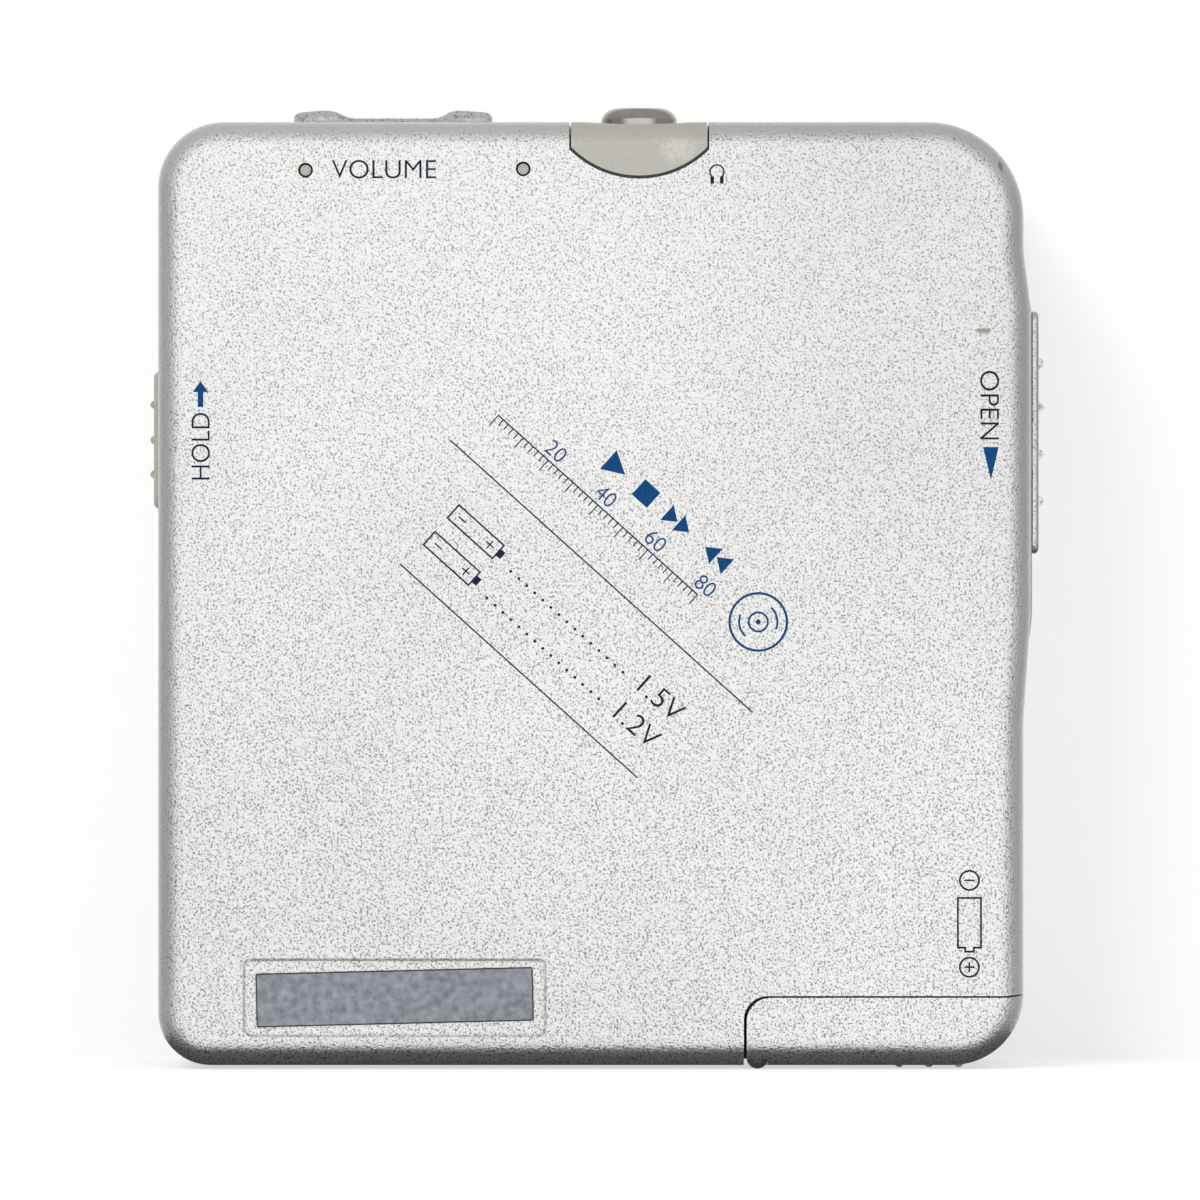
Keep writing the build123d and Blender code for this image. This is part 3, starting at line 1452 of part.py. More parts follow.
with BuildPart() as label_plate:
    with BuildSketch(across(rear_y + label_recess_depth)):
        with Locations(Location((label_x, label_z), label_tilt)):
            RectangleRounded(label_width, label_height, 0.2)
    extrude(amount=label_sheet)
label_plate.part.label = "label_plate"
export_step(label_plate.part, "parts/label_plate.step")
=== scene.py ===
# %% [markdown]
# # A pocket disc player
# The solid parts of the player come ready made and stand in one shared frame: X across, Y through the
# thickness, Z up, all in metres. This lesson dresses them: it sets a camera and a small studio, builds the
# paints, plastics and metals as node trees, prints the legends on the case, and adds the fine parts that
# repeat or follow a rule: the cell's spring, the chip legs and the small capacitors.

# %% Load the solid parts
import json
import math

import bmesh
import bpy
from mathutils import Matrix, Vector


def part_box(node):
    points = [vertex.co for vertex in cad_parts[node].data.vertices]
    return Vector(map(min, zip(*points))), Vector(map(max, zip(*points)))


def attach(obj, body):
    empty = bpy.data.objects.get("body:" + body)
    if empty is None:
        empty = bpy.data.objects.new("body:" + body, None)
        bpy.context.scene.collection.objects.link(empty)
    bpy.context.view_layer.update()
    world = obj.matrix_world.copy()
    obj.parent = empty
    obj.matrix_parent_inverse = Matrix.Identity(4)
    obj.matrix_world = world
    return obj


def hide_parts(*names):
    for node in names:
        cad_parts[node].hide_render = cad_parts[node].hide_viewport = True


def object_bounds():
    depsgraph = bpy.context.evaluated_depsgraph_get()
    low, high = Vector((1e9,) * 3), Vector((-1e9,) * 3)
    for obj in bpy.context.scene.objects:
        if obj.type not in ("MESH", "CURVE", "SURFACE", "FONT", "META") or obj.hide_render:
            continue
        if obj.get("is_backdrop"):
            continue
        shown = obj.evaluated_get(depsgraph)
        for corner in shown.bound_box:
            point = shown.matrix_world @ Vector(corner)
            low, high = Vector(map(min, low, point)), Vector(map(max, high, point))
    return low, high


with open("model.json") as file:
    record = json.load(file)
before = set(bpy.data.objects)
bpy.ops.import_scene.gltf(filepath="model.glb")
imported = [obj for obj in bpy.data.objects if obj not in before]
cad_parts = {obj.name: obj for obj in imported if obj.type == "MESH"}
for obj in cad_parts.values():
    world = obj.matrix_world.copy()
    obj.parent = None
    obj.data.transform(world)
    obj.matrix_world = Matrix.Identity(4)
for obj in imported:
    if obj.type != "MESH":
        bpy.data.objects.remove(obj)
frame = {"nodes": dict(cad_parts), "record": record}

MM = 0.001
CAD_LOW, CAD_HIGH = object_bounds()
SCENE = bpy.context.scene
print("solid parts:", len(frame["nodes"]), "box", CAD_LOW, CAD_HIGH)

# %% [markdown]
# ## The camera
# The rear face is looked at square-on from far away with a long lens, so the sides hide behind their own
# rounded rims and nothing leans. The lens follows from the width that has to fit in the frame at the face.

# %% Set the camera
REAR_Y = CAD_LOW.y
VIEW_WIDTH = 100.32 * MM
VIEW_X, VIEW_Z = 0.77 * MM, 39.26 * MM
CAMERA_BACK = 1.0

camera_data = bpy.data.cameras.new("camera")
camera_data.sensor_width = 36.0
camera_data.lens = camera_data.sensor_width * CAMERA_BACK / VIEW_WIDTH
camera_data.clip_start, camera_data.clip_end = 0.05, 12.0
camera = bpy.data.objects.new("camera", camera_data)
camera.location = (VIEW_X, REAR_Y - CAMERA_BACK, VIEW_Z)
camera.rotation_euler = (math.pi / 2, 0.0, 0.0)
SCENE.collection.objects.link(camera)
SCENE.camera = camera
SCENE.view_settings.view_transform = "Standard"
print("lens", round(camera_data.lens, 1), "mm")

# %% [markdown]
# ## Helpers for node trees
# Node trees are easier to read when each node is one line. The helper makes a node, sets what it is given,
# and takes either a plain value or another node's socket for each input.


# %% Make a node
def add(tree, kind, inputs=None, **settings):
    """A new node of that kind: inputs are values or sockets, settings are the node's own options."""
    made = tree.nodes.new(kind)
    for name, value in settings.items():
        setattr(made, name, value)
    for name, value in (inputs or {}).items():
        if isinstance(value, bpy.types.NodeSocket):
            tree.links.new(value, made.inputs[name])
        else:
            made.inputs[name].default_value = value
    return made


def sum_of(tree, first, second, clamp=False):
    """The sum of two values, held between 0 and 1 if clamp is set."""
    return add(tree, "ShaderNodeMath", {0: first, 1: second}, operation="ADD", use_clamp=clamp).outputs[0]


# %% [markdown]
# ## The studio
# Painted metal looks like whatever stands round it. The room is plain white, and mirrors see it too: white in
# front and behind, falling to grey at the sides, as between two big soft screens. The flat face mirrors the
# white, and the rounded rims turn towards the grey, so the rim can be read. A small dark card lies on the
# table round the foot. Only mirrors see it, and it stands for the shade that gathers under a real object.
# Floor and backdrop keep the soft shadow near the player and fade to plain white further out.

# %% White room
WHITE = (1.0, 1.0, 1.0, 1.0)
ROOM_LIGHT = 0.55
SIDE_LOW, SIDE_HIGH, BEHIND_WHITE = 0.20, 0.42, 0.80
SCREEN_EDGE, SCREEN_FULL = 0.50, 0.94

world = bpy.data.worlds.new("white_room")
SCENE.world = world
world.use_nodes = True
room = world.node_tree
room.nodes.clear()
path = add(room, "ShaderNodeLightPath")
seen = sum_of(room, path.outputs["Is Camera Ray"], path.outputs["Is Glossy Ray"], clamp=True)
seen = sum_of(room, seen, path.outputs["Is Transmission Ray"], clamp=True)
lamp_side = add(room, "ShaderNodeBackground", {"Color": WHITE, "Strength": ROOM_LIGHT})
towards = add(room, "ShaderNodeSeparateXYZ", {0: add(room, "ShaderNodeTexCoord").outputs["Generated"]})
side = add(room, "ShaderNodeMapRange",
           {"Value": towards.outputs["Z"], "From Min": -1.0, "To Min": SIDE_LOW, "To Max": SIDE_HIGH})
front = add(room, "ShaderNodeMapRange",
            {"Value": towards.outputs["Y"], "From Min": -SCREEN_EDGE, "From Max": -SCREEN_FULL},
            interpolation_type="SMOOTHSTEP")
behind = add(room, "ShaderNodeMapRange",
             {"Value": towards.outputs["Y"], "From Min": SCREEN_EDGE, "From Max": SCREEN_FULL},
             interpolation_type="SMOOTHSTEP")
with_behind = add(room, "ShaderNodeMix", {0: behind.outputs[0], 2: side.outputs[0], 3: BEHIND_WHITE}, data_type="FLOAT")
with_front = add(room, "ShaderNodeMix", {0: front.outputs[0], 2: with_behind.outputs[0], 3: 1.0}, data_type="FLOAT")
mirrored = add(room, "ShaderNodeMix", {0: path.outputs["Is Glossy Ray"], 2: 1.0, 3: with_front.outputs[0]},
               data_type="FLOAT")
seen_side = add(room, "ShaderNodeBackground", {"Color": WHITE, "Strength": mirrored.outputs[0]})
mixed = add(room, "ShaderNodeMixShader", {0: seen, 1: lamp_side.outputs[0], 2: seen_side.outputs[0]})
add(room, "ShaderNodeOutputWorld", {"Surface": mixed.outputs[0]})
print("room nodes:", len(room.nodes))


# %% Floor and backdrop
STAGE_REACH, STAGE_SHADE = 4.0, 0.5
FLOOR_LIGHT, BACKDROP_LIGHT = 0.78, 0.85
SHADE_REACH, WHITE_REACH = 0.11, 0.26
BACKDROP_Y = CAD_HIGH.y + 1.5 * MM


def sheet_mesh(name, corners):
    """A single four-cornered face, wound so that it looks the way its corners turn."""
    mesh = bpy.data.meshes.new(name)
    mesh.from_pydata([Vector(c) for c in corners], [], [tuple(range(len(corners)))])
    made = bpy.data.objects.new(name, mesh)
    SCENE.collection.objects.link(made)
    made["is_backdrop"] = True
    return made


def stage_material(name, shade, light_there):
    """White to the camera and to mirrors, with a share of real shading that keeps the soft shadow near the player.
    light_there is the brightness that the lamps and the room give it where nothing stands in the way."""
    made = bpy.data.materials.new(name)
    made.use_nodes = True
    tree = made.node_tree
    tree.nodes.clear()
    rays = add(tree, "ShaderNodeLightPath")
    facing = add(tree, "ShaderNodeNewGeometry")
    looked_at = sum_of(tree, rays.outputs["Is Camera Ray"], rays.outputs["Is Glossy Ray"], clamp=True)
    looked_at = sum_of(tree, looked_at, rays.outputs["Is Transmission Ray"], clamp=True)
    glow = add(tree, "ShaderNodeEmission", {"Color": WHITE, "Strength": 1.0 - shade * light_there})
    soft = add(tree, "ShaderNodeBsdfDiffuse", {"Color": (shade, shade, shade, 1.0)})
    both = add(tree, "ShaderNodeAddShader", {0: glow.outputs[0], 1: soft.outputs[0]})
    where = add(tree, "ShaderNodeTexCoord").outputs["Object"]
    reach = add(tree, "ShaderNodeVectorMath", {0: where}, operation="LENGTH")
    far = add(tree, "ShaderNodeMapRange",
              {"Value": reach.outputs["Value"], "From Min": SHADE_REACH, "From Max": WHITE_REACH},
              interpolation_type="SMOOTHSTEP")
    white = add(tree, "ShaderNodeEmission", {"Color": WHITE, "Strength": 1.0})
    faded = add(tree, "ShaderNodeMixShader", {0: far.outputs[0], 1: both.outputs[0], 2: white.outputs[0]})
    plain = add(tree, "ShaderNodeBsdfDiffuse", {"Color": (0.8, 0.8, 0.8, 1.0)})
    front = add(tree, "ShaderNodeMixShader", {0: looked_at, 1: plain.outputs[0], 2: faded.outputs[0]})
    clear = add(tree, "ShaderNodeBsdfTransparent")
    whole = add(tree, "ShaderNodeMixShader",
                {0: facing.outputs["Backfacing"], 1: front.outputs[0], 2: clear.outputs[0]})
    add(tree, "ShaderNodeOutputMaterial", {"Surface": whole.outputs[0]})
    return made


floor = sheet_mesh("floor", [(-STAGE_REACH, -STAGE_REACH, 0), (STAGE_REACH, -STAGE_REACH, 0),
                             (STAGE_REACH, STAGE_REACH, 0), (-STAGE_REACH, STAGE_REACH, 0)])
floor.data.materials.append(stage_material("floor_white", STAGE_SHADE, FLOOR_LIGHT))
floor.visible_glossy = False

backdrop = sheet_mesh("backdrop", [(-STAGE_REACH, BACKDROP_Y, 0), (STAGE_REACH, BACKDROP_Y, 0),
                                   (STAGE_REACH, BACKDROP_Y, STAGE_REACH), (-STAGE_REACH, BACKDROP_Y, STAGE_REACH)])
backdrop.data.materials.append(stage_material("backdrop_white", STAGE_SHADE, BACKDROP_LIGHT))
backdrop.visible_glossy = False
print("stage:", floor.name, backdrop.name)


# %% A dark card of painted shade round the foot
def card(name, corners, grey):
    """A card that only mirrors see, standing for painted shade in reflections."""
    made = sheet_mesh(name, corners)
    paint = bpy.data.materials.new(name)
    paint.use_nodes = True
    paint.node_tree.nodes.clear()
    glow = add(paint.node_tree, "ShaderNodeEmission", {"Color": (grey, grey, grey, 1.0), "Strength": 1.0})
    add(paint.node_tree, "ShaderNodeOutputMaterial", {"Surface": glow.outputs[0]})
    made.data.materials.append(paint)
    for ray in ("camera", "diffuse", "transmission", "volume_scatter", "shadow"):
        setattr(made, "visible_" + ray, False)


CARD_X, CARD_Y, CARD_Z, CARD_SHADE_GREY = 40 * MM, 14.5 * MM, 0.02 * MM, 0.05
card("foot_shade_card", [(-CARD_X, -CARD_Y, CARD_Z), (CARD_X, -CARD_Y, CARD_Z),
                   (CARD_X, CARD_Y, CARD_Z), (-CARD_X, CARD_Y, CARD_Z)], CARD_SHADE_GREY)
print("card half sizes in mm:", round(CARD_X / MM, 1), round(CARD_Y / MM, 1))


# %% Soft lamps
def lamp(name, place, size, level):
    """A square soft lamp aimed at the player, unseen by mirrors. level is the brightness of a white card there."""
    data = bpy.data.lights.new(name, "AREA")
    data.shape = "SQUARE"
    data.size = size
    aim = Vector((0.0, 0.0, VIEW_Z))
    away = Vector(place) - aim
    data.energy = level * (math.pi * away.length) ** 2
    made = bpy.data.objects.new(name, data)
    made.location = place
    made.rotation_mode = "QUATERNION"
    made.rotation_quaternion = away.to_track_quat("Z", "Y")
    made.visible_glossy = False
    SCENE.collection.objects.link(made)


lamp("key_lamp", (-0.75, -1.35, 1.15), 0.8, 0.42)
lamp("fill_lamp", (1.1, -1.2, 0.5), 0.9, 0.14)
lamp("back_lamp", (0.6, 1.5, 1.1), 0.9, 0.40)

# %% [markdown]
# ## Effects that several finishes share
# Each effect is a node group with named inputs. `fine_grain` breaks a colour into light and dark specks and
# gives their height. `blasted_paint` is the case's own grain: small pits, painted a little darker inside as
# painted shade, under a slow haze of random tone with a painted shade that darkens the top right and bottom
# left corners. As painted light, the pit shade fades towards the top and on the rims, except where they face
# down. `smudges` is a slow change over centimetres, used on roughness, because hands never leave a surface even.
# `ragged_patch` is a ragged patch round one place, used for rubs, for a dark patch at the knob's lower end and
# for a painted highlight on the jack cover.


# %% Build the shared groups
def effect(name, inputs, outputs):
    """An empty node group with those sockets, and its two end nodes."""
    tree = bpy.data.node_groups.new(name, "ShaderNodeTree")
    for label, kind, value in inputs:
        socket = tree.interface.new_socket(label, in_out="INPUT", socket_type="NodeSocket" + kind)
        if value is not None:
            socket.default_value = value
    for label, kind in outputs:
        tree.interface.new_socket(label, in_out="OUTPUT", socket_type="NodeSocket" + kind)
    return tree, tree.nodes.new("NodeGroupInput").outputs, tree.nodes.new("NodeGroupOutput")


fine_grain, given, result = effect(
    "fine_grain",
    [("Vector", "Vector", None), ("Per Metre", "Float", 3000.0), ("Spread", "Float", 0.12), ("Detail", "Float", 1.0),
     ("Dark", "Color", (0.4, 0.4, 0.4, 1.0)), ("Light", "Color", WHITE)],
    [("Color", "Color"), ("Height", "Float")])
specks = add(fine_grain, "ShaderNodeTexNoise",
             {"Vector": given["Vector"], "Scale": given["Per Metre"], "Detail": given["Detail"]})
low = add(fine_grain, "ShaderNodeMath", {0: 0.5, 1: given["Spread"]}, operation="SUBTRACT")
high = add(fine_grain, "ShaderNodeMath", {0: 0.5, 1: given["Spread"]}, operation="ADD")
level = add(fine_grain, "ShaderNodeMapRange",
            {"Value": specks.outputs[0], "From Min": low.outputs[0], "From Max": high.outputs[0]})
tint = add(fine_grain, "ShaderNodeMix", {0: level.outputs[0], 6: given["Dark"], 7: given["Light"]}, data_type="RGBA")
fine_grain.links.new(tint.outputs[2], result.inputs["Color"])
fine_grain.links.new(level.outputs[0], result.inputs["Height"])

# The dark pits are painted shade. RIM and TOP set where it fades, which is painted light: on the rims, except where
# they face down, and towards the top. The third line sets a painted shade that darkens the top right and bottom left
# corners.
RIM_FROM, RIM_TO, RIM_FADE = 0.72, 0.96, 0.62
TOP_FROM, TOP_TO, TOP_FADE = 20 * MM, 74 * MM, 0.14
CORNER_SHADE_MIDDLE, CORNER_SHADE_REACH, CORNER_SHADE_AMOUNT = 40 * MM, 900 * MM * MM, 0.30

blasted_paint, given, result = effect(
    "blasted_paint",
    [("Vector", "Vector", None), ("Per Metre", "Float", 4200.0), ("Detail", "Float", 2.0),
     ("Dark", "Color", (0.5, 0.5, 0.5, 1.0)), ("Light", "Color", WHITE), ("Haze", "Color", (0.8, 0.8, 0.8, 1.0)),
     ("Facing", "Vector", None)],
    [("Color", "Color"), ("Height", "Float")])
pits = add(blasted_paint, "ShaderNodeTexNoise",
           {"Vector": given["Vector"], "Scale": given["Per Metre"], "Detail": given["Detail"]})
level = add(blasted_paint, "ShaderNodeMapRange", {"Value": pits.outputs[0], "From Min": 0.34, "From Max": 0.50})
# Painted light: the painted pit shade fades on the rims that do not face down, and towards the top.
facing = add(blasted_paint, "ShaderNodeSeparateXYZ", {0: given["Facing"]})
flatness = add(blasted_paint, "ShaderNodeMath", {0: facing.outputs["Y"]}, operation="ABSOLUTE")
rim_shade_fade = add(blasted_paint, "ShaderNodeMapRange",
                {"Value": flatness.outputs[0], "From Min": RIM_FROM, "From Max": RIM_TO,
                 "To Min": RIM_FADE, "To Max": 0.0})
above = add(blasted_paint, "ShaderNodeMapRange", {"Value": facing.outputs["Z"], "From Min": -0.55, "From Max": -0.1})
upper_rim_shade_fade = add(blasted_paint, "ShaderNodeMath", {0: rim_shade_fade.outputs[0], 1: above.outputs[0]}, operation="MULTIPLY")
place = add(blasted_paint, "ShaderNodeSeparateXYZ", {0: given["Vector"]})
top_shade_fade = add(blasted_paint, "ShaderNodeMapRange",
              {"Value": place.outputs["Z"], "From Min": TOP_FROM, "From Max": TOP_TO,
               "To Min": 0.0, "To Max": TOP_FADE})
wear_and_shade_fade = sum_of(blasted_paint, upper_rim_shade_fade.outputs[0], top_shade_fade.outputs[0])
softened = sum_of(blasted_paint, level.outputs[0], wear_and_shade_fade, clamp=True)
tint = add(blasted_paint, "ShaderNodeMix", {0: softened, 6: given["Dark"], 7: given["Light"]}, data_type="RGBA")
# Painted shade: a slow cloud of random tone, plus a painted shade that darkens the top right and bottom left corners.
cloud = add(blasted_paint, "ShaderNodeTexNoise", {"Vector": given["Vector"], "Scale": 22.0, "Detail": 2.0})
height = add(blasted_paint, "ShaderNodeMath", {0: place.outputs["Z"], 1: CORNER_SHADE_MIDDLE}, operation="SUBTRACT")
corner = add(blasted_paint, "ShaderNodeMath", {0: place.outputs["X"], 1: height.outputs[0]}, operation="MULTIPLY")
painted_corner_shade = add(blasted_paint, "ShaderNodeMapRange",
             {"Value": corner.outputs[0], "From Min": -CORNER_SHADE_REACH, "From Max": CORNER_SHADE_REACH,
              "To Min": -CORNER_SHADE_AMOUNT, "To Max": CORNER_SHADE_AMOUNT})
cloud_and_corner_shade = sum_of(blasted_paint, cloud.outputs[0], painted_corner_shade.outputs[0])
patch = add(blasted_paint, "ShaderNodeMapRange", {"Value": cloud_and_corner_shade, "From Min": 0.35, "From Max": 0.95})
hazed_and_shaded = add(blasted_paint, "ShaderNodeMix", {0: patch.outputs[0], 6: tint.outputs[2], 7: given["Haze"]},
            data_type="RGBA", blend_type="MULTIPLY")
blasted_paint.links.new(hazed_and_shaded.outputs[2], result.inputs["Color"])
blasted_paint.links.new(pits.outputs[0], result.inputs["Height"])

smudges, given, result = effect(
    "smudges",
    [("Vector", "Vector", None), ("Per Metre", "Float", 60.0), ("Low", "Float", 0.3), ("High", "Float", 0.4)],
    [("Value", "Float")])
cloud = add(smudges, "ShaderNodeTexNoise", {"Vector": given["Vector"], "Scale": given["Per Metre"], "Detail": 4.0})
level = add(smudges, "ShaderNodeMapRange", {"Value": cloud.outputs[0], "From Min": 0.3, "From Max": 0.7,
                                            "To Min": given["Low"], "To Max": given["High"]})
smudges.links.new(level.outputs[0], result.inputs["Value"])

RAGGED_PER_METRE = 3200.0
ragged_patch, given, result = effect(
    "ragged_patch",
    [("Vector", "Vector", None), ("Centre", "Vector", (0, 0, 0)), ("Size", "Vector", (0.001, 0.001, 0.001))],
    [("Mask", "Float")])
shifted = add(ragged_patch, "ShaderNodeVectorMath", {0: given["Vector"], 1: given["Centre"]}, operation="SUBTRACT")
scaled = add(ragged_patch, "ShaderNodeVectorMath", {0: shifted.outputs[0], 1: given["Size"]}, operation="DIVIDE")
reach = add(ragged_patch, "ShaderNodeVectorMath", {0: scaled.outputs[0]}, operation="LENGTH")
near = add(ragged_patch, "ShaderNodeMapRange", {"Value": reach.outputs["Value"], "From Min": 1.0, "From Max": 0.0})
broken = add(ragged_patch, "ShaderNodeTexNoise", {"Vector": given["Vector"], "Scale": RAGGED_PER_METRE, "Detail": 3.0})
edge = add(ragged_patch, "ShaderNodeMath", {0: near.outputs[0], 1: broken.outputs[0]}, operation="MULTIPLY")
mask = add(ragged_patch, "ShaderNodeMapRange", {"Value": edge.outputs[0], "From Min": 0.20, "From Max": 0.42})
ragged_patch.links.new(mask.outputs[0], result.inputs["Mask"])
print("groups:", [g.name for g in bpy.data.node_groups])


# %% [markdown]
# ## The finishes
# Most finishes here are one recipe with different amounts: a grained colour, a slow change in roughness, a
# shallow bump from the same grain, and metal or not. One function builds them. A second one builds the blasted
# paint of the case and of the parts that are marked in places, with painted shade in its pits and corners, and a
# painted highlight on the jack cover.

# %% One recipe for a finish
def use(tree, name, vector, **values):
    """A shared group in a material, with its values."""
    made = add(tree, "ShaderNodeGroup", None, node_tree=bpy.data.node_groups[name])
    tree.links.new(vector, made.inputs["Vector"])
    for label, value in values.items():
        made.inputs[label.replace("_", " ")].default_value = value
    return made


def finish(name, dark, light, metallic=0.0, rough=(0.35, 0.45), grain=2500.0, stretch=(1, 1, 1), spread=0.15,
           bump=0.15, depth=0.02, detail=1.0, coat=0.0, coat_rough=0.1, ior=1.5):
    """A material with grained colour, uneven roughness and a shallow bump."""
    made = bpy.data.materials.new(name)
    made.use_nodes = True
    tree = made.node_tree
    shader = tree.nodes["Principled BSDF"]
    where = add(tree, "ShaderNodeTexCoord").outputs["Object"]
    turned = add(tree, "ShaderNodeMapping", {"Vector": where, "Scale": stretch})
    specked = use(tree, "fine_grain", turned.outputs[0], Per_Metre=grain, Spread=spread, Detail=detail,
                  Dark=(*dark, 1.0), Light=(*light, 1.0))
    wear_and_shade_fade = use(tree, "smudges", where, Low=rough[0], High=rough[1])
    relief = add(tree, "ShaderNodeBump",
                 {"Strength": bump, "Distance": depth * MM, "Height": specked.outputs["Height"]})
    tree.links.new(specked.outputs["Color"], shader.inputs["Base Color"])
    tree.links.new(wear_and_shade_fade.outputs["Value"], shader.inputs["Roughness"])
    tree.links.new(relief.outputs[0], shader.inputs["Normal"])
    shader.inputs["Metallic"].default_value = metallic
    shader.inputs["Coat Weight"].default_value = coat
    shader.inputs["Coat Roughness"].default_value = coat_rough
    shader.inputs["IOR"].default_value = ior
    return made


# %% Blasted metal with a few scuffs, painted shade and a painted highlight
def blasted(name, dark, light, haze_and_shade, per_metre, depth, rough, spots, spot_colour, metallic=0.93):
    """Grained silver with painted shade in its pits and corners, changed to another colour at some places given as
    (centre, reach) in millimetres: rubs, a dark patch, and on the jack cover a painted highlight.
    """
    made = bpy.data.materials.new(name)
    made.use_nodes = True
    tree = made.node_tree
    shader = tree.nodes["Principled BSDF"]
    surface = add(tree, "ShaderNodeTexCoord")
    where = surface.outputs["Object"]
    paint = use(tree, "blasted_paint", where, Per_Metre=per_metre,
                Dark=(*dark, 1.0), Light=(*light, 1.0), Haze=(*haze_and_shade, 1.0))
    tree.links.new(surface.outputs["Normal"], paint.inputs["Facing"])
    wear_and_shade_fade = use(tree, "smudges", where, Per_Metre=45.0, Low=rough[0], High=rough[1])
    colour = paint.outputs["Color"]
    for centre, reach in spots:
        spot = use(tree, "ragged_patch", where, Centre=[n * MM for n in centre], Size=[n * MM for n in reach])
        colour = add(tree, "ShaderNodeMix", {0: spot.outputs["Mask"], 6: colour, 7: (*spot_colour, 1.0)},
                     data_type="RGBA").outputs[2]
    relief = add(tree, "ShaderNodeBump", {"Strength": 1.0, "Distance": depth * MM, "Height": paint.outputs["Height"]})
    tree.links.new(colour, shader.inputs["Base Color"])
    tree.links.new(wear_and_shade_fade.outputs["Value"], shader.inputs["Roughness"])
    tree.links.new(relief.outputs[0], shader.inputs["Normal"])
    shader.inputs["Metallic"].default_value = metallic
    return made


CASE_RUBS = (((32.9, -12.0, 61.8), (1.5, 0.5, 0.5)), ((34.3, -11.2, 75.4), (0.5, 0.8, 1.3)))
# On the open knob: a small dark chip, and a dark patch at its lower end.
KNOB_DARK_SPOTS = (((37.9, 2.1, 54.3), (0.9, 2.5, 0.5)), ((37.5, 2.1, 43.4), (1.8, 3.0, 1.6)))
ROCKER_RUBS = (((-22.5, -8.0, 79.6), (3.0, 2.0, 0.5)), ((-10.0, -8.0, 79.6), (2.4, 2.0, 0.4)))
# The jack cover has a scratch, and on its right part a light patch that is a painted highlight among light flecks.
COVER_SCRATCH_AND_HIGHLIGHT = (((-0.1, -12.0, 78.3), (1.5, 0.7, 0.35)), ((7.2, -12.0, 76.9), (3.0, 1.0, 2.2)))


# %% The finishes by slot
FINISHES = {
    "silver_case": blasted("silver_paint", (0.33, 0.33, 0.325), (0.98, 0.98, 0.97), (0.86, 0.86, 0.865), 5600.0, 0.07,
                           (0.285, 0.315), CASE_RUBS, (0.36, 0.33, 0.27)),
    "silver_metal": finish("satin_silver", (0.52, 0.53, 0.53), (0.86, 0.87, 0.87), metallic=0.95, rough=(0.24, 0.34),
                           grain=5200.0, spread=0.2, bump=0.2, depth=0.01),
    "band_plastic": finish("beige_grey_plastic", (0.43, 0.42, 0.37), (0.48, 0.465, 0.415), rough=(0.32, 0.45),
                           grain=4200.0, bump=0.1, depth=0.01),
    "dark_plastic": finish("dark_plastic", (0.018, 0.018, 0.02), (0.034, 0.034, 0.037), rough=(0.42, 0.55),
                           grain=3500.0),
    "white_plastic": finish("milk_plastic", (0.70, 0.70, 0.66), (0.78, 0.78, 0.74), rough=(0.35, 0.45),
                            grain=1500.0, bump=0.05),
    "steel_sheet": finish("rolled_steel", (0.46, 0.46, 0.455), (0.66, 0.66, 0.65), metallic=1.0, rough=(0.28, 0.42),
                          grain=900.0, stretch=(1.0, 8.0, 8.0), bump=0.08, detail=3.0),
    "bright_steel": finish("ground_steel", (0.62, 0.62, 0.62), (0.78, 0.78, 0.78), metallic=1.0, rough=(0.14, 0.22),
                           grain=1200.0, stretch=(1.0, 12.0, 1.0), bump=0.04),
    "die_cast": finish("cast_zinc", (0.40, 0.41, 0.42), (0.58, 0.59, 0.60), metallic=0.9, rough=(0.42, 0.55),
                       grain=1600.0, bump=0.25, detail=3.0),
    "chrome_ring": finish("polished_nickel", (0.54, 0.505, 0.47), (0.62, 0.585, 0.55), metallic=1.0, rough=(0.03, 0.08),
                          grain=800.0, bump=0.02),
    "lens_black": finish("coated_lens", (0.012, 0.012, 0.03), (0.02, 0.02, 0.045), rough=(0.04, 0.07),
                         grain=600.0, bump=0.0, coat=1.0, coat_rough=0.02, ior=1.7),
    "brass": finish("turned_brass", (0.62, 0.46, 0.20), (0.80, 0.63, 0.32), metallic=1.0, rough=(0.22, 0.32),
                    grain=900.0, stretch=(1.0, 10.0, 1.0), bump=0.06),
    "board_green": finish("solder_mask", (0.012, 0.10, 0.045), (0.02, 0.16, 0.07), rough=(0.25, 0.35),
                          grain=400.0, bump=0.1, coat=0.4, coat_rough=0.2),
    "chip_black": finish("chip_moulding", (0.016, 0.016, 0.017), (0.03, 0.03, 0.031), rough=(0.5, 0.6),
                         grain=4000.0, bump=0.3),
    "contact_nickel": finish("nickel_spring", (0.66, 0.63, 0.57), (0.76, 0.73, 0.68), metallic=1.0, rough=(0.14, 0.24),
                             grain=1500.0, bump=0.05),
    "screw_steel": finish("plated_screw", (0.50, 0.50, 0.50), (0.68, 0.68, 0.67), metallic=1.0, rough=(0.2, 0.3),
                          grain=2500.0, bump=0.1),
    "label_grey": finish("metallised_label", (0.17, 0.182, 0.205), (0.40, 0.42, 0.46), metallic=0.75,
                         rough=(0.32, 0.45), grain=1500.0, spread=0.26, bump=0.25, detail=6.0),
}

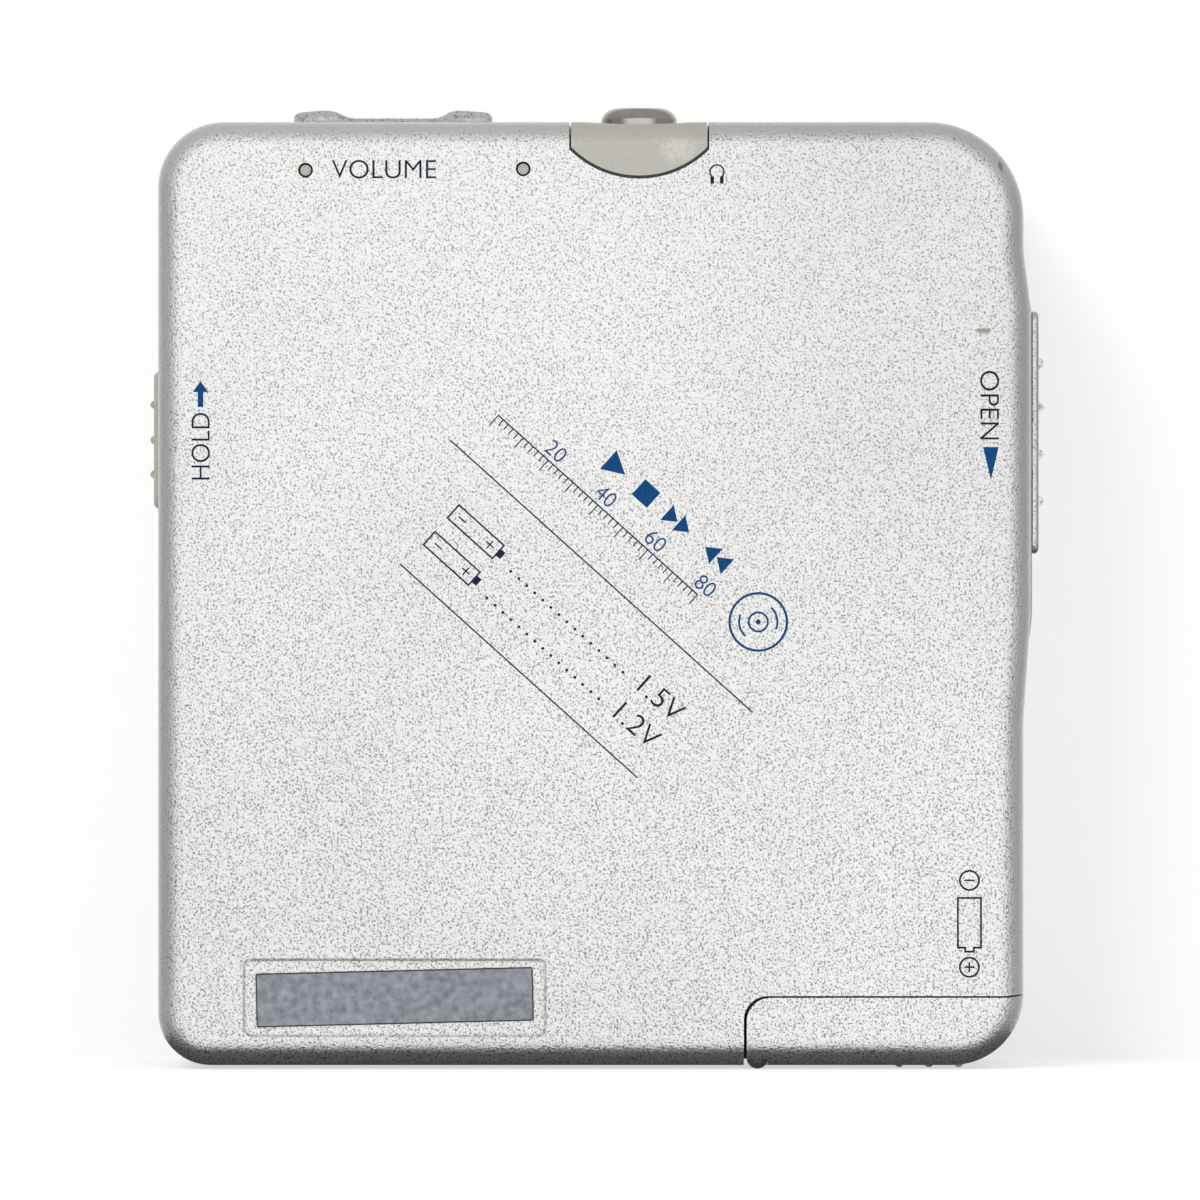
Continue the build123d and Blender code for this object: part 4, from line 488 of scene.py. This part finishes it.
# %% Dress every solid part
slot_of = {part["node"]: part["material_slot"] for part in frame["record"]["subparts"]}
SINGLE_FINISHES = {
    "volume_rocker": blasted("rocker_satin", (0.26, 0.265, 0.27), (0.52, 0.525, 0.53), (0.8, 0.8, 0.8), 3600.0, 0.12,
                             (0.30, 0.40), ROCKER_RUBS, (0.75, 0.75, 0.75)),
    "open_knob": blasted("knob_satin", (0.40, 0.40, 0.40), (0.95, 0.95, 0.94), (0.9, 0.9, 0.9), 4800.0, 0.06,
                         (0.285, 0.33), KNOB_DARK_SPOTS, (0.045, 0.04, 0.035)),
    "jack_cover": blasted("cover_lacquer", (0.46, 0.45, 0.40), (0.50, 0.49, 0.44), (0.95, 0.95, 0.95), 3000.0, 0.008,
                          (0.22, 0.32), COVER_SCRATCH_AND_HIGHLIGHT, (0.60, 0.585, 0.535), metallic=0.3),
    # The door pin is painted nearly black: painted shade, as it sits in shadow.
    "door_pin": finish("pin_steel_painted_shade", (0.10, 0.10, 0.10), (0.16, 0.16, 0.155), metallic=0.9, rough=(0.35, 0.45)),
}
for name, solid in frame["nodes"].items():
    solid.data.materials.clear()
    solid.data.materials.append(SINGLE_FINISHES.get(name) or FINISHES[slot_of[name]])
print("dressed", len(frame["nodes"]), "parts in", len(FINISHES), "finishes")

# %% [markdown]
# ## Printed legends
# Pad-printed ink lies on the paint as a film a few microns thick. Each mark is a flat outline given a hair
# of thickness, so it never flickers against the face and it is a real mesh. Words start as text
# objects, become meshes, and are fitted to the space that they fill.

# %% Ink and its thickness
INK_THICK = 0.012 * MM
INK = {"rough": (0.5, 0.6), "grain": 5000.0, "bump": 0.1, "ior": 1.3}
INK_DARK = finish("navy_ink", (0.003, 0.009, 0.028), (0.006, 0.018, 0.052), **INK)
INK_BLUE = finish("blue_ink", (0.0, 0.042, 0.15), (0.0, 0.07, 0.225), **INK)
print("inks:", INK_DARK.name, INK_BLUE.name)


# %% Turn flat shapes into printed marks
def solid_from(name, mesh, material, body):
    """Links a finished mesh as a piece that rides on a body."""
    made = bpy.data.objects.new(name, mesh)
    SCENE.collection.objects.link(made)
    mesh.materials.clear()
    mesh.materials.append(material)
    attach(made, body)
    print("piece:", name, "on", body, "with", len(mesh.polygons), "faces")
    return made


def extruded(loops, thick):
    """A closed mesh from flat outlines in (x, z), standing out towards -Y by thick from y = 0.
    Each loop is (outer points, inner points or None); a ring has as many inner points as outer ones."""
    mesh = bpy.data.meshes.new("mark")
    shape = bmesh.new()
    for outer, inner in loops:
        count = len(outer)
        layers = []
        for y in (0.0, -thick):
            edge = [shape.verts.new((x, y, z)) for x, z in outer]
            hole = [shape.verts.new((x, y, z)) for x, z in inner] if inner else []
            layers.append((edge, hole))
        (back, back_hole), (front, front_hole) = layers
        for i in range(count):
            j = (i + 1) % count
            shape.faces.new((back[i], back[j], front[j], front[i]))
            if inner:
                shape.faces.new((back_hole[j], back_hole[i], front_hole[i], front_hole[j]))
                shape.faces.new((front[i], front[j], front_hole[j], front_hole[i]))
                shape.faces.new((back[j], back[i], back_hole[i], back_hole[j]))
        if not inner:
            shape.faces.new(front)
            shape.faces.new(back[::-1])
    bmesh.ops.recalc_face_normals(shape, faces=shape.faces)
    shape.to_mesh(mesh)
    shape.free()
    return mesh


def polar(cx, cz, r, degrees):
    """The point at that distance and angle from a centre in the face."""
    return cx + r * math.cos(math.radians(degrees)), cz + r * math.sin(math.radians(degrees))


def bow(cx, cz, r, first, turn, steps):
    """Points along part of a circle, from the first angle through that turn, both in degrees."""
    return [polar(cx, cz, r, first + turn * i / steps) for i in range(steps + 1)]


def circle(cx, cz, r, count=40):
    """Points round a circle in the face."""
    return [polar(cx, cz, r, 360 * i / count) for i in range(count)]


def rectangle(x0, z0, x1, z1):
    return [(x0, z0), (x1, z0), (x1, z1), (x0, z1)]


def ring(cx, cz, r, line):
    """A drawn circle of that line width."""
    return circle(cx, cz, r + line / 2), circle(cx, cz, r - line / 2)


def stroke(points, line):
    """A line of even width along some points, as one closed outline."""
    left, right = [], []
    for i, (x, z) in enumerate(points):
        x0, z0 = points[max(i - 1, 0)]
        x1, z1 = points[min(i + 1, len(points) - 1)]
        run = math.hypot(x1 - x0, z1 - z0)
        nx, nz = -(z1 - z0) / run * line / 2, (x1 - x0) / run * line / 2
        left.append((x + nx, z + nz))
        right.append((x - nx, z - nz))
    return left + right[::-1], None


def printed(name, loops, material, y=REAR_Y):
    """A mark on the rear face from outlines in millimetres."""
    mesh = extruded(loops, INK_THICK)
    mesh.transform(Matrix.Translation((0, y, 0)) @ Matrix.Diagonal((MM, 1, MM, 1)))
    solid_from(name, mesh, material, "case")


LETTER_THICK, LETTER_THINNED = 0.01, -0.008


def word(name, text, box, turn, material):
    """A word fitted to box (x0, z0, x1, z1) in millimetres. turn is in degrees, anticlockwise on the face."""
    curve = bpy.data.curves.new(name, "FONT")
    curve.body = text
    curve.extrude = LETTER_THICK
    curve.offset = LETTER_THINNED
    holder = bpy.data.objects.new(name + "_text", curve)
    SCENE.collection.objects.link(holder)
    mesh = bpy.data.meshes.new_from_object(holder.evaluated_get(bpy.context.evaluated_depsgraph_get()))
    bpy.data.objects.remove(holder)
    mesh.transform(Matrix.Rotation(math.radians(turn), 4, "Z"))
    xs = [v.co.x for v in mesh.vertices]
    ys = [v.co.y for v in mesh.vertices]
    zs = [v.co.z for v in mesh.vertices]
    x0, z0, x1, z1 = (n * MM for n in box)
    for v in mesh.vertices:
        painted_corner_shade = (v.co.x - min(xs)) / (max(xs) - min(xs))
        up = (v.co.y - min(ys)) / (max(ys) - min(ys))
        out = (v.co.z - min(zs)) / (max(zs) - min(zs))
        v.co = (x0 + painted_corner_shade * (x1 - x0), REAR_Y - out * INK_THICK, z0 + up * (z1 - z0))
    return solid_from(name, mesh, material, "case")


# %% [markdown]
# ## Words and signs beside the controls
# Each control has its word, and the two sliders an arrow for the way they move. The headphone sign sits by
# the jack, and the cell sign by the battery door shows which way round the cell goes in.

# %% Control words
word("print_volume", "VOLUME", (-21.65, 74.50, -12.92, 76.05), 0, INK_DARK)
word("print_hold", "HOLD", (-33.39, 49.33, -31.84, 54.90), 90, INK_DARK)
word("print_open", "OPEN", (32.55, 52.68, 34.14, 58.42), -90, INK_DARK)

# %% Arrows
printed("print_hold_arrow", [
    ([(-33.28, 56.64), (-31.98, 56.64), (-32.63, 57.57)], None),
    (rectangle(-32.86, 55.40, -32.40, 56.64), None)], INK_BLUE)
printed("print_open_arrow", [([(32.79, 52.05), (34.10, 52.05), (33.45, 49.29)], None)], INK_BLUE)

# %% Headphone sign
PHONES_X, PHONES_Z, BAND_R, BAND_LINE = 10.55, 75.05, 0.58, 0.13
CUP_AWAY, CUP_HALF, CUP_LOW, CUP_HIGH = 0.40, 0.15, 0.98, 0.38
band = bow(PHONES_X, PHONES_Z, BAND_R, -50, 280, 30)
cups = [rectangle(x - CUP_HALF, PHONES_Z - CUP_LOW, x + CUP_HALF, PHONES_Z - CUP_HIGH)
        for x in (PHONES_X - CUP_AWAY, PHONES_X + CUP_AWAY)]
printed("print_headphones", [stroke(band, BAND_LINE)] + [(cup, None) for cup in cups], INK_DARK)

# %% Cell sign
CELL_X, CELL_MIDDLE, SIGN_LINE = 31.65, 12.0, 0.16
MINUS_Z, PLUS_Z, POLE_R, BAR_HALF, BAR_THIN = 15.82, 8.56, 0.80, 0.42, 0.07
cell_outline = [(30.61, 10.12), (31.22, 10.12), (31.22, 9.78), (32.10, 9.78), (32.10, 10.12), (32.70, 10.12),
                (32.70, 14.43), (30.61, 14.43)]
inside = [(x + (SIGN_LINE if x < CELL_X else -SIGN_LINE), z + (SIGN_LINE if z < CELL_MIDDLE else -SIGN_LINE))
          for x, z in cell_outline]
poles = []
for z in (MINUS_Z, PLUS_Z):
    poles += [ring(CELL_X, z, POLE_R, SIGN_LINE),
              (rectangle(CELL_X - BAR_HALF, z - BAR_THIN, CELL_X + BAR_HALF, z + BAR_THIN), None)]
poles += [(rectangle(CELL_X - BAR_THIN, PLUS_Z + low, CELL_X + BAR_THIN, PLUS_Z + high), None)
          for low, high in ((-BAR_HALF, -BAR_THIN), (BAR_THIN, BAR_HALF))]
printed("print_cell", [(cell_outline, inside)] + poles, INK_DARK)

# %% [markdown]
# ## The slanted block in the middle of the rear
# A slanted block of small print fills the middle of the rear face. Here it holds plain signs only: the signs of
# the keys, a scale of playing minutes, a disc, and two cells with their voltages. It is drawn level round its
# own centre and then turned as one.

# %% Draw level, then slant
BLOCK_X, BLOCK_Z, BLOCK_TURN = -1.0, 39.9, -42.0


def slanted(points):
    """Points of the level drawing, turned about the block's centre."""
    turn = math.radians(BLOCK_TURN)
    return [(BLOCK_X + u * math.cos(turn) - v * math.sin(turn), BLOCK_Z + u * math.sin(turn) + v * math.cos(turn))
            for u, v in points]


def slanted_loops(loops):
    return [(slanted(outer), slanted(inner) if inner else None) for outer, inner in loops]


def frame_loop(u0, v0, u1, v1, line):
    """A drawn rectangle of that line width."""
    return rectangle(u0, v0, u1, v1), rectangle(u0 + line, v0 + line, u1 - line, v1 - line)


def cell_sign(u, v, long, high, line):
    """A cell lying on its side: its body and its nub."""
    nub = high * 0.22
    return [frame_loop(u, v - high / 2, u + long, v + high / 2, line),
            (rectangle(u + long, v - nub, u + long + 0.45, v + nub), None)]


DISC_U, DISC_V, DISC_R = 12.8, 8.2, 2.4
HUB_R, HOLE_R, GLINT_R, RIM_LINE, DISC_LINE = 0.8, 0.22, 1.6, 0.2, 0.17
disc_sign = [ring(DISC_U, DISC_V, DISC_R, RIM_LINE), ring(DISC_U, DISC_V, HUB_R, DISC_LINE),
             (circle(DISC_U, DISC_V, HOLE_R, 16), None)]
disc_sign += [stroke(bow(DISC_U, DISC_V, GLINT_R, first, 70, 12), DISC_LINE) for first in (20, 200)]

SIGNS_V, SIGN_HALF, SMALL_HALF, SKIP_LONG, SKIP_STEP = 9.9, 1.05, 0.85, 1.2, 1.3
key_signs = [([(-5.6, SIGNS_V - SIGN_HALF), (-3.7, SIGNS_V), (-5.6, SIGNS_V + SIGN_HALF)], None),
             (rectangle(-2.2, SIGNS_V - SMALL_HALF, -0.5, SIGNS_V + SMALL_HALF), None)]
for u, way in ((1.0, 1), (7.8, -1)):
    for step in (0.0, SKIP_STEP):
        foot, tip = u + way * step, u + way * (step + SKIP_LONG)
        key_signs.append(([(foot, SIGNS_V - SMALL_HALF), (tip, SIGNS_V), (foot, SIGNS_V + SMALL_HALF)], None))
printed("print_signs", slanted_loops(key_signs + disc_sign), INK_BLUE)

SCALE_V, SCALE_START, MINUTE, MINUTES = 6.5, -14.9, 0.28, 80
THIN, TICK_THIN, LONG_TICK, SHORT_TICK = 0.06, 0.05, 1.1, 0.6
ticks = [(rectangle(SCALE_START, SCALE_V - THIN, SCALE_START + MINUTES * MINUTE, SCALE_V + THIN), None),
         (rectangle(-16.5, 2.2, 17.4, 2.32), None), (rectangle(-12.7, -8.3, 14.0, -8.18), None)]
for minute in range(0, MINUTES + 1, 2):
    u = SCALE_START + minute * MINUTE
    tall = SHORT_TICK if minute % 10 else LONG_TICK
    ticks.append((rectangle(u - TICK_THIN, SCALE_V - tall, u + TICK_THIN, SCALE_V), None))
CELL_ROWS = (-2.0, -5.0)
DOTS, DOT_START, DOT_STEP, DOT_DROP, DOT_R = 15, -5.4, 0.9, 0.5, 0.13
for v in CELL_ROWS:
    ticks += cell_sign(-12.4, v, 5.2, 1.6, 0.14)
    ticks += [(rectangle(-11.7, v - THIN, -10.9, v + THIN), None), (rectangle(-8.6, v - THIN, -7.8, v + THIN), None),
              (rectangle(-8.26, v - 0.4, -8.14, v + 0.4), None)]
    ticks += [(circle(DOT_START + DOT_STEP * i, v - DOT_DROP, DOT_R, 10), None) for i in range(DOTS)]
printed("print_scale", slanted_loops(ticks), INK_DARK)


def slanted_word(name, text, u, v, high, wide, material):
    """A word in the slanted block, from u to the right, with its middle at v and that height and width."""
    mesh = word(name, text, (0, 0, 1, 1), 0, material).data
    for vertex in mesh.vertices:
        (px, pz), = slanted([(u + vertex.co.x / MM * wide, v + (vertex.co.z / MM - 0.5) * high)])
        vertex.co.x, vertex.co.z = px * MM, pz * MM


MINUTE_HIGH, MINUTE_WIDE, MINUTE_UP = 1.3, 1.7, 1.0
for minute in (20, 40, 60, 80):
    slanted_word("print_minute_" + str(minute), str(minute), SCALE_START + minute * MINUTE - MINUTE_WIDE / 2,
                 SCALE_V + MINUTE_UP, MINUTE_HIGH, MINUTE_WIDE, INK_BLUE)
VOLTS_U, VOLTS_HIGH, VOLTS_WIDE = 9.0, 1.7, 4.2
for label, v in (("1.5V", CELL_ROWS[0]), ("1.2V", CELL_ROWS[1])):
    slanted_word("print_" + label.replace(".", "_"), label, VOLTS_U, v, VOLTS_HIGH, VOLTS_WIDE, INK_DARK)

# %% [markdown]
# ## Fine lines on the rear
# Some lines are too thin for the solid parts: the dark gap round the jack cover and the cut edge of the label.
# The soft edge of the shallow frame that the label sits in is a grey line of painted shade, with a darker
# painted shade along its top. They are all drawn as films like the ink.

# %% The gap round the jack cover and the label's frame
CORNER_STEPS = 6


def rounded(x0, z0, x1, z1, r):
    """Points round a rectangle with round corners."""
    points = []
    for cx, cz, first in ((x1 - r, z1 - r, 0), (x0 + r, z1 - r, 90), (x0 + r, z0 + r, 180), (x1 - r, z0 + r, 270)):
        points += bow(cx, cz, r, first, 90, CORNER_STEPS)
    return points


def rounded_line(x0, z0, x1, z1, r, inner_r, line):
    """A drawn rectangle of that line width, with round corners outside and inside."""
    return rounded(x0, z0, x1, z1, r), rounded(x0 + line, z0 + line, x1 - line, z1 - line, inner_r)


FRAME_X0, FRAME_Z0, FRAME_X1, FRAME_Z1 = -29.08, 2.72, -3.75, 9.33
FRAME_CORNER, FRAME_INNER, FRAME_LINE = 0.7, 0.6, 0.12
SHADE_IN, SHADE_LOW, SHADE_HIGH = 0.6, 0.21, 0.13
# The frame's edge is a grey line of painted shade, and the strip along its top is a darker painted shade.
EDGE_SHADE_PAINT = finish("frame_edge", (0.30, 0.30, 0.295), (0.66, 0.66, 0.65), metallic=0.9, rough=(0.3, 0.4), grain=3000.0)
printed("label_frame_edge_shade",
        [rounded_line(FRAME_X0, FRAME_Z0, FRAME_X1, FRAME_Z1, FRAME_CORNER, FRAME_INNER, FRAME_LINE)], EDGE_SHADE_PAINT)
SHADE_PAINT = finish("frame_shade", (0.11, 0.10, 0.085), (0.24, 0.22, 0.19), rough=(0.4, 0.5), grain=3000.0)
printed("label_frame_shade", [(rectangle(FRAME_X0 + SHADE_IN, FRAME_Z1 - SHADE_LOW, FRAME_X1 - SHADE_IN,
                                         FRAME_Z1 - SHADE_HIGH), None)], SHADE_PAINT)

label_low, label_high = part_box("label_plate")
LABEL_LONG, LABEL_TALL, LABEL_TILT, LABEL_LINE = 23.2, 4.5, math.radians(1.4), 0.11
LABEL_CORNER, LABEL_INNER = 0.16, 0.05
label_x, label_z = ((label_low[i] + label_high[i]) / 2 / MM for i in (0, 2))


def on_label(points):
    """Points of the level label, tilted as the label lies."""
    along, up = math.cos(LABEL_TILT), math.sin(LABEL_TILT)
    return [(label_x + x * along - z * up, label_z + x * up + z * along) for x, z in points]


half_long, half_tall = LABEL_LONG / 2, LABEL_TALL / 2
outside, within = rounded_line(-half_long, -half_tall, half_long, half_tall, LABEL_CORNER, LABEL_INNER, LABEL_LINE)
printed("label_edge", [(on_label(outside), on_label(within))], FINISHES["chip_black"], y=label_low.y)

cover_low, cover_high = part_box("jack_cover")
COVER_X, COVER_HALF = (cover_low.x + cover_high.x) / 2 / MM, (cover_high.x - cover_low.x) / 2 / MM
COVER_SAG, GAP_LINE = 2.4, 0.26
gap_radius = (COVER_SAG ** 2 + COVER_HALF ** 2) / (2 * COVER_SAG)
gap_reach = math.asin(COVER_HALF / gap_radius)
line_radius = gap_radius + GAP_LINE / 2
gap_arc = [(COVER_X + line_radius * math.sin(a), cover_low.z / MM + gap_radius - line_radius * math.cos(a))
           for a in [gap_reach * (i / 20 - 1) for i in range(41)]]
printed("jack_gap_line", [stroke(gap_arc, GAP_LINE)], FINISHES["dark_plastic"])

# %% [markdown]
# ## Signs on the keys
# Each key in the lid carries the sign for what it does: play, stop, and a step back or forward. They are
# printed in dark ink, and each sign rides on its own key, so it sinks with it.

# %% Key signs
def facing_lid(loops, name, node, body):
    """Marks printed on the outer face of a key, from outlines in millimetres round its middle."""
    low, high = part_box(node)
    mesh = extruded(loops, INK_THICK)
    middle = Matrix.Translation(((low.x + high.x) / 2, high.y, (low.z + high.z) / 2))
    mesh.transform(middle @ Matrix.Diagonal((-MM, -1, MM, 1)))
    solid_from(name, mesh, INK_DARK, body)


KEY_HALF, KEY_TALL, KEY_STEP, KEY_BAR = 0.7, 0.85, 1.0, 0.22
play_sign = [([(-KEY_HALF, -KEY_TALL), (-KEY_HALF, KEY_TALL), (KEY_TALL, 0.0)], None)]
stop_sign = [(rectangle(-KEY_HALF, -KEY_HALF, KEY_HALF, KEY_HALF), None)]
ahead = [([(-KEY_STEP, -KEY_HALF), (-KEY_STEP, KEY_HALF), (0.0, 0.0)], None),
         ([(0.0, -KEY_HALF), (0.0, KEY_HALF), (KEY_STEP, 0.0)], None),
         (rectangle(KEY_STEP, -KEY_HALF, KEY_STEP + KEY_BAR, KEY_HALF), None)]
back = [([(-x, z) for x, z in outer], None) for outer, _ in ahead]
facing_lid(play_sign, "sign_play", "play_key", "play")
facing_lid(stop_sign, "sign_stop", "stop_key", "stop")
facing_lid(ahead, "sign_ahead", "skip_forward_key", "skip_forward")
facing_lid(back, "sign_back", "skip_back_key", "skip_back")

# %% [markdown]
# ## The cell's spring
# The flat end of the cell rests on a coil that narrows towards the cell. A coil follows a rule, so it is grown
# with Geometry Nodes: a spiral curve, a round wire swept along it, and the material set at the end. The tree
# has its sizes as named inputs, and its result is turned into a plain mesh.


# %% Geometry Nodes helpers
def grower(name, inputs):
    """An empty geometry tree with those inputs and one geometry output, and its two end nodes."""
    tree = bpy.data.node_groups.new(name, "GeometryNodeTree")
    for label, kind in inputs:
        tree.interface.new_socket(label, in_out="INPUT", socket_type="NodeSocket" + kind)
    tree.interface.new_socket("Geometry", in_out="OUTPUT", socket_type="NodeSocketGeometry")
    return tree, tree.nodes.new("NodeGroupInput").outputs, tree.nodes.new("NodeGroupOutput")


def grow(tree, name, values, move):
    """Runs a geometry tree with those values, and returns the result as a plain mesh moved to its place."""
    start = bpy.data.objects.new(name, bpy.data.meshes.new(name + "_seed"))
    SCENE.collection.objects.link(start)
    step = start.modifiers.new(name, "NODES")
    step.node_group = tree
    for item in tree.interface.items_tree:
        if item.in_out == "INPUT" and item.name in values:
            step[item.identifier] = values[item.name]
    bpy.context.view_layer.update()
    mesh = bpy.data.meshes.new_from_object(start.evaluated_get(bpy.context.evaluated_depsgraph_get()))
    bpy.data.objects.remove(start)
    mesh.transform(move)
    return mesh


def to_output(tree, result, geometry, material):
    """The tail of each tree: realize what is instanced, set the material, and put it out."""
    real = add(tree, "GeometryNodeRealizeInstances", {"Geometry": geometry})
    coated = add(tree, "GeometryNodeSetMaterial", {"Geometry": real.outputs[0], "Material": material})
    tree.links.new(coated.outputs[0], result.inputs["Geometry"])


# %% Grow the spring
coil_tree, given, result = grower("coil_spring", [
    ("Turns", "Float"), ("Foot Radius", "Float"), ("Tip Radius", "Float"), ("Height", "Float"),
    ("Wire Radius", "Float"), ("Material", "Material")])
spiral = add(coil_tree, "GeometryNodeCurveSpiral", {
    "Resolution": 40, "Rotations": given["Turns"], "Start Radius": given["Foot Radius"],
    "End Radius": given["Tip Radius"], "Height": given["Height"], "Reverse": False})
wire = add(coil_tree, "GeometryNodeCurvePrimitiveCircle", {"Resolution": 12, "Radius": given["Wire Radius"]})
swept = add(coil_tree, "GeometryNodeCurveToMesh",
            {"Curve": spiral.outputs[0], "Profile Curve": wire.outputs[0], "Fill Caps": True})
smooth = add(coil_tree, "GeometryNodeSetShadeSmooth", {"Geometry": swept.outputs[0]})
to_output(coil_tree, result, smooth.outputs[0], given["Material"])

coil_low, coil_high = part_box("coil_contact")
WIRE, COIL_TURNS, COIL_TIP = 0.3 * MM, 3.1, 2.2 * MM
coil_middle = (coil_low + coil_high) / 2
coil_mesh = grow(coil_tree, "spring", {
    "Turns": COIL_TURNS, "Foot Radius": (coil_high.x - coil_low.x) / 2 - WIRE, "Tip Radius": COIL_TIP,
    "Height": coil_high.z - coil_low.z - 2 * WIRE, "Wire Radius": WIRE, "Material": FINISHES["contact_nickel"]},
    Matrix.Translation((coil_middle.x, coil_middle.y, coil_high.z - WIRE)) @ Matrix.Rotation(math.pi, 4, "X"))
coil = solid_from("cell_spring", coil_mesh, FINISHES["contact_nickel"], "case")
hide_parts("coil_contact")

# %% [markdown]
# ## Legs and small parts on the board
# A flat package has a row of legs on each side, and a row of capacitors stands near it. Both are the same rule:
# one small block, repeated at a pitch. One tree grows a row, and the rows are moved to their places and joined.

# %% Grow one row of blocks
row_tree, given, result = grower("block_row", [
    ("Count", "Int"), ("Pitch", "Float"), ("Block", "Vector"), ("Material", "Material")])
last = add(row_tree, "ShaderNodeMath", {0: given["Count"], 1: -0.5}, operation="MULTIPLY")
first = add(row_tree, "ShaderNodeMath", {0: last.outputs[0], 1: 0.5}, operation="ADD")
start = add(row_tree, "ShaderNodeMath", {0: first.outputs[0], 1: given["Pitch"]}, operation="MULTIPLY")
line = add(row_tree, "GeometryNodeMeshLine", {
    "Count": given["Count"],
    "Start Location": add(row_tree, "ShaderNodeCombineXYZ", {"X": start.outputs[0]}).outputs[0],
    "Offset": add(row_tree, "ShaderNodeCombineXYZ", {"X": given["Pitch"]}).outputs[0]})
block = add(row_tree, "GeometryNodeMeshCube", {"Size": given["Block"]})
placed_blocks = add(row_tree, "GeometryNodeInstanceOnPoints", {"Points": line.outputs[0], "Instance": block.outputs[0]})
to_output(row_tree, result, placed_blocks.outputs[0], given["Material"])


def rows_piece(name, rows, material, body):
    """One piece from several rows. A row is (x, y, z, turn in degrees, count, pitch, block size), lengths in mm."""
    whole = bmesh.new()
    for x, y, z, turn, count, pitch, size in rows:
        place = Matrix.Translation((x * MM, y * MM, z * MM)) @ Matrix.Rotation(math.radians(turn), 4, "Y")
        grown = grow(row_tree, name, {"Count": count, "Pitch": pitch * MM, "Block": [n * MM for n in size],
                                      "Material": material}, place)
        whole.from_mesh(grown)
        bpy.data.meshes.remove(grown)
    mesh = bpy.data.meshes.new(name)
    whole.to_mesh(mesh)
    whole.free()
    solid_from(name, mesh, material, body)


# %% Legs round the chips, capacitors beside them
BOARD_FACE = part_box("main_board")[1].y / MM
DISC_Z = (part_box("turntable")[0].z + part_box("turntable")[1].z) / 2 / MM
CHIPS = ((-22.0, DISC_Z - 26.0, 10.0, 10.0), (-6.5, DISC_Z - 26.5, 8.0, 8.0), (8.0, DISC_Z - 25.0, 7.0, 12.0),
         (12.5, DISC_Z + 10.0, 5.0, 9.0))
LEG, LEG_PITCH, LEG_LIFT, LEG_OUT = (0.3, 0.25, 0.9), 0.65, 0.13, 0.4
SMALL, SMALL_PITCH, SMALL_LIFT, SMALL_AWAY = (1.0, 0.42, 0.55), 1.9, 0.22, 2.0
leg_rows, small_rows = [], []
for x, z, wide, tall in CHIPS:
    leg_y, wide_count, tall_count = BOARD_FACE + LEG_LIFT, int((wide - 1) / LEG_PITCH), int((tall - 1) / LEG_PITCH)
    for side in (-1, 1):
        leg_rows.append((x, leg_y, z + side * (tall / 2 + LEG_OUT), 0, wide_count, LEG_PITCH, LEG))
        leg_rows.append((x + side * (wide / 2 + LEG_OUT), leg_y, z, 90, tall_count, LEG_PITCH, LEG))
    small_rows.append((x, BOARD_FACE + SMALL_LIFT, z + tall / 2 + SMALL_AWAY, 0, max(int(wide / SMALL_PITCH), 2),
                       SMALL_PITCH, SMALL))
rows_piece("chip_legs", leg_rows, FINISHES["contact_nickel"], "case")
CAPACITOR = finish("capacitor_clay", (0.26, 0.17, 0.09), (0.36, 0.25, 0.14), rough=(0.45, 0.55), grain=3000.0, bump=0.1)
rows_piece("board_capacitors", small_rows, CAPACITOR, "case")

# %% [markdown]
# ## The lens glass
# The pickup looks through a small glass lens with a blue coating. It is a flat dome sunk in its holder, and it
# rides on the sled.

# %% Lens glass
GLASS_BLUE = finish("lens_glass", (0.004, 0.008, 0.05), (0.008, 0.016, 0.08), rough=(0.02, 0.04), grain=500.0,
                    bump=0.0, coat=1.0, coat_rough=0.01, ior=1.8)
GLASS_R, GLASS_BULGE, GLASS_SUNK = 1.45 * MM, 0.11 * MM, 0.14 * MM
lens_low, lens_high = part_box("objective_lens")
dome = bmesh.new()
bmesh.ops.create_uvsphere(dome, u_segments=32, v_segments=16, radius=1.0)
lens_place = Matrix.Translation(
    ((lens_low.x + lens_high.x) / 2, lens_high.y - GLASS_SUNK, (lens_low.z + lens_high.z) / 2))
bmesh.ops.transform(dome, verts=dome.verts,
                    matrix=lens_place @ Matrix.Diagonal((GLASS_R, GLASS_BULGE, GLASS_R, 1)))
for face in dome.faces:
    face.smooth = True
glass_mesh = bpy.data.meshes.new("lens_glass")
dome.to_mesh(glass_mesh)
dome.free()
solid_from("lens_glass", glass_mesh, GLASS_BLUE, "sled")

# %% [markdown]
# ## The box of the dressed player
# The dressed player is built to stay in the solid parts' box, apart from a hair of ink. Its box is printed here,
# and the solid parts' box at the start.

# %% Print the dressed box
low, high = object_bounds()
print("visual box", low, high)
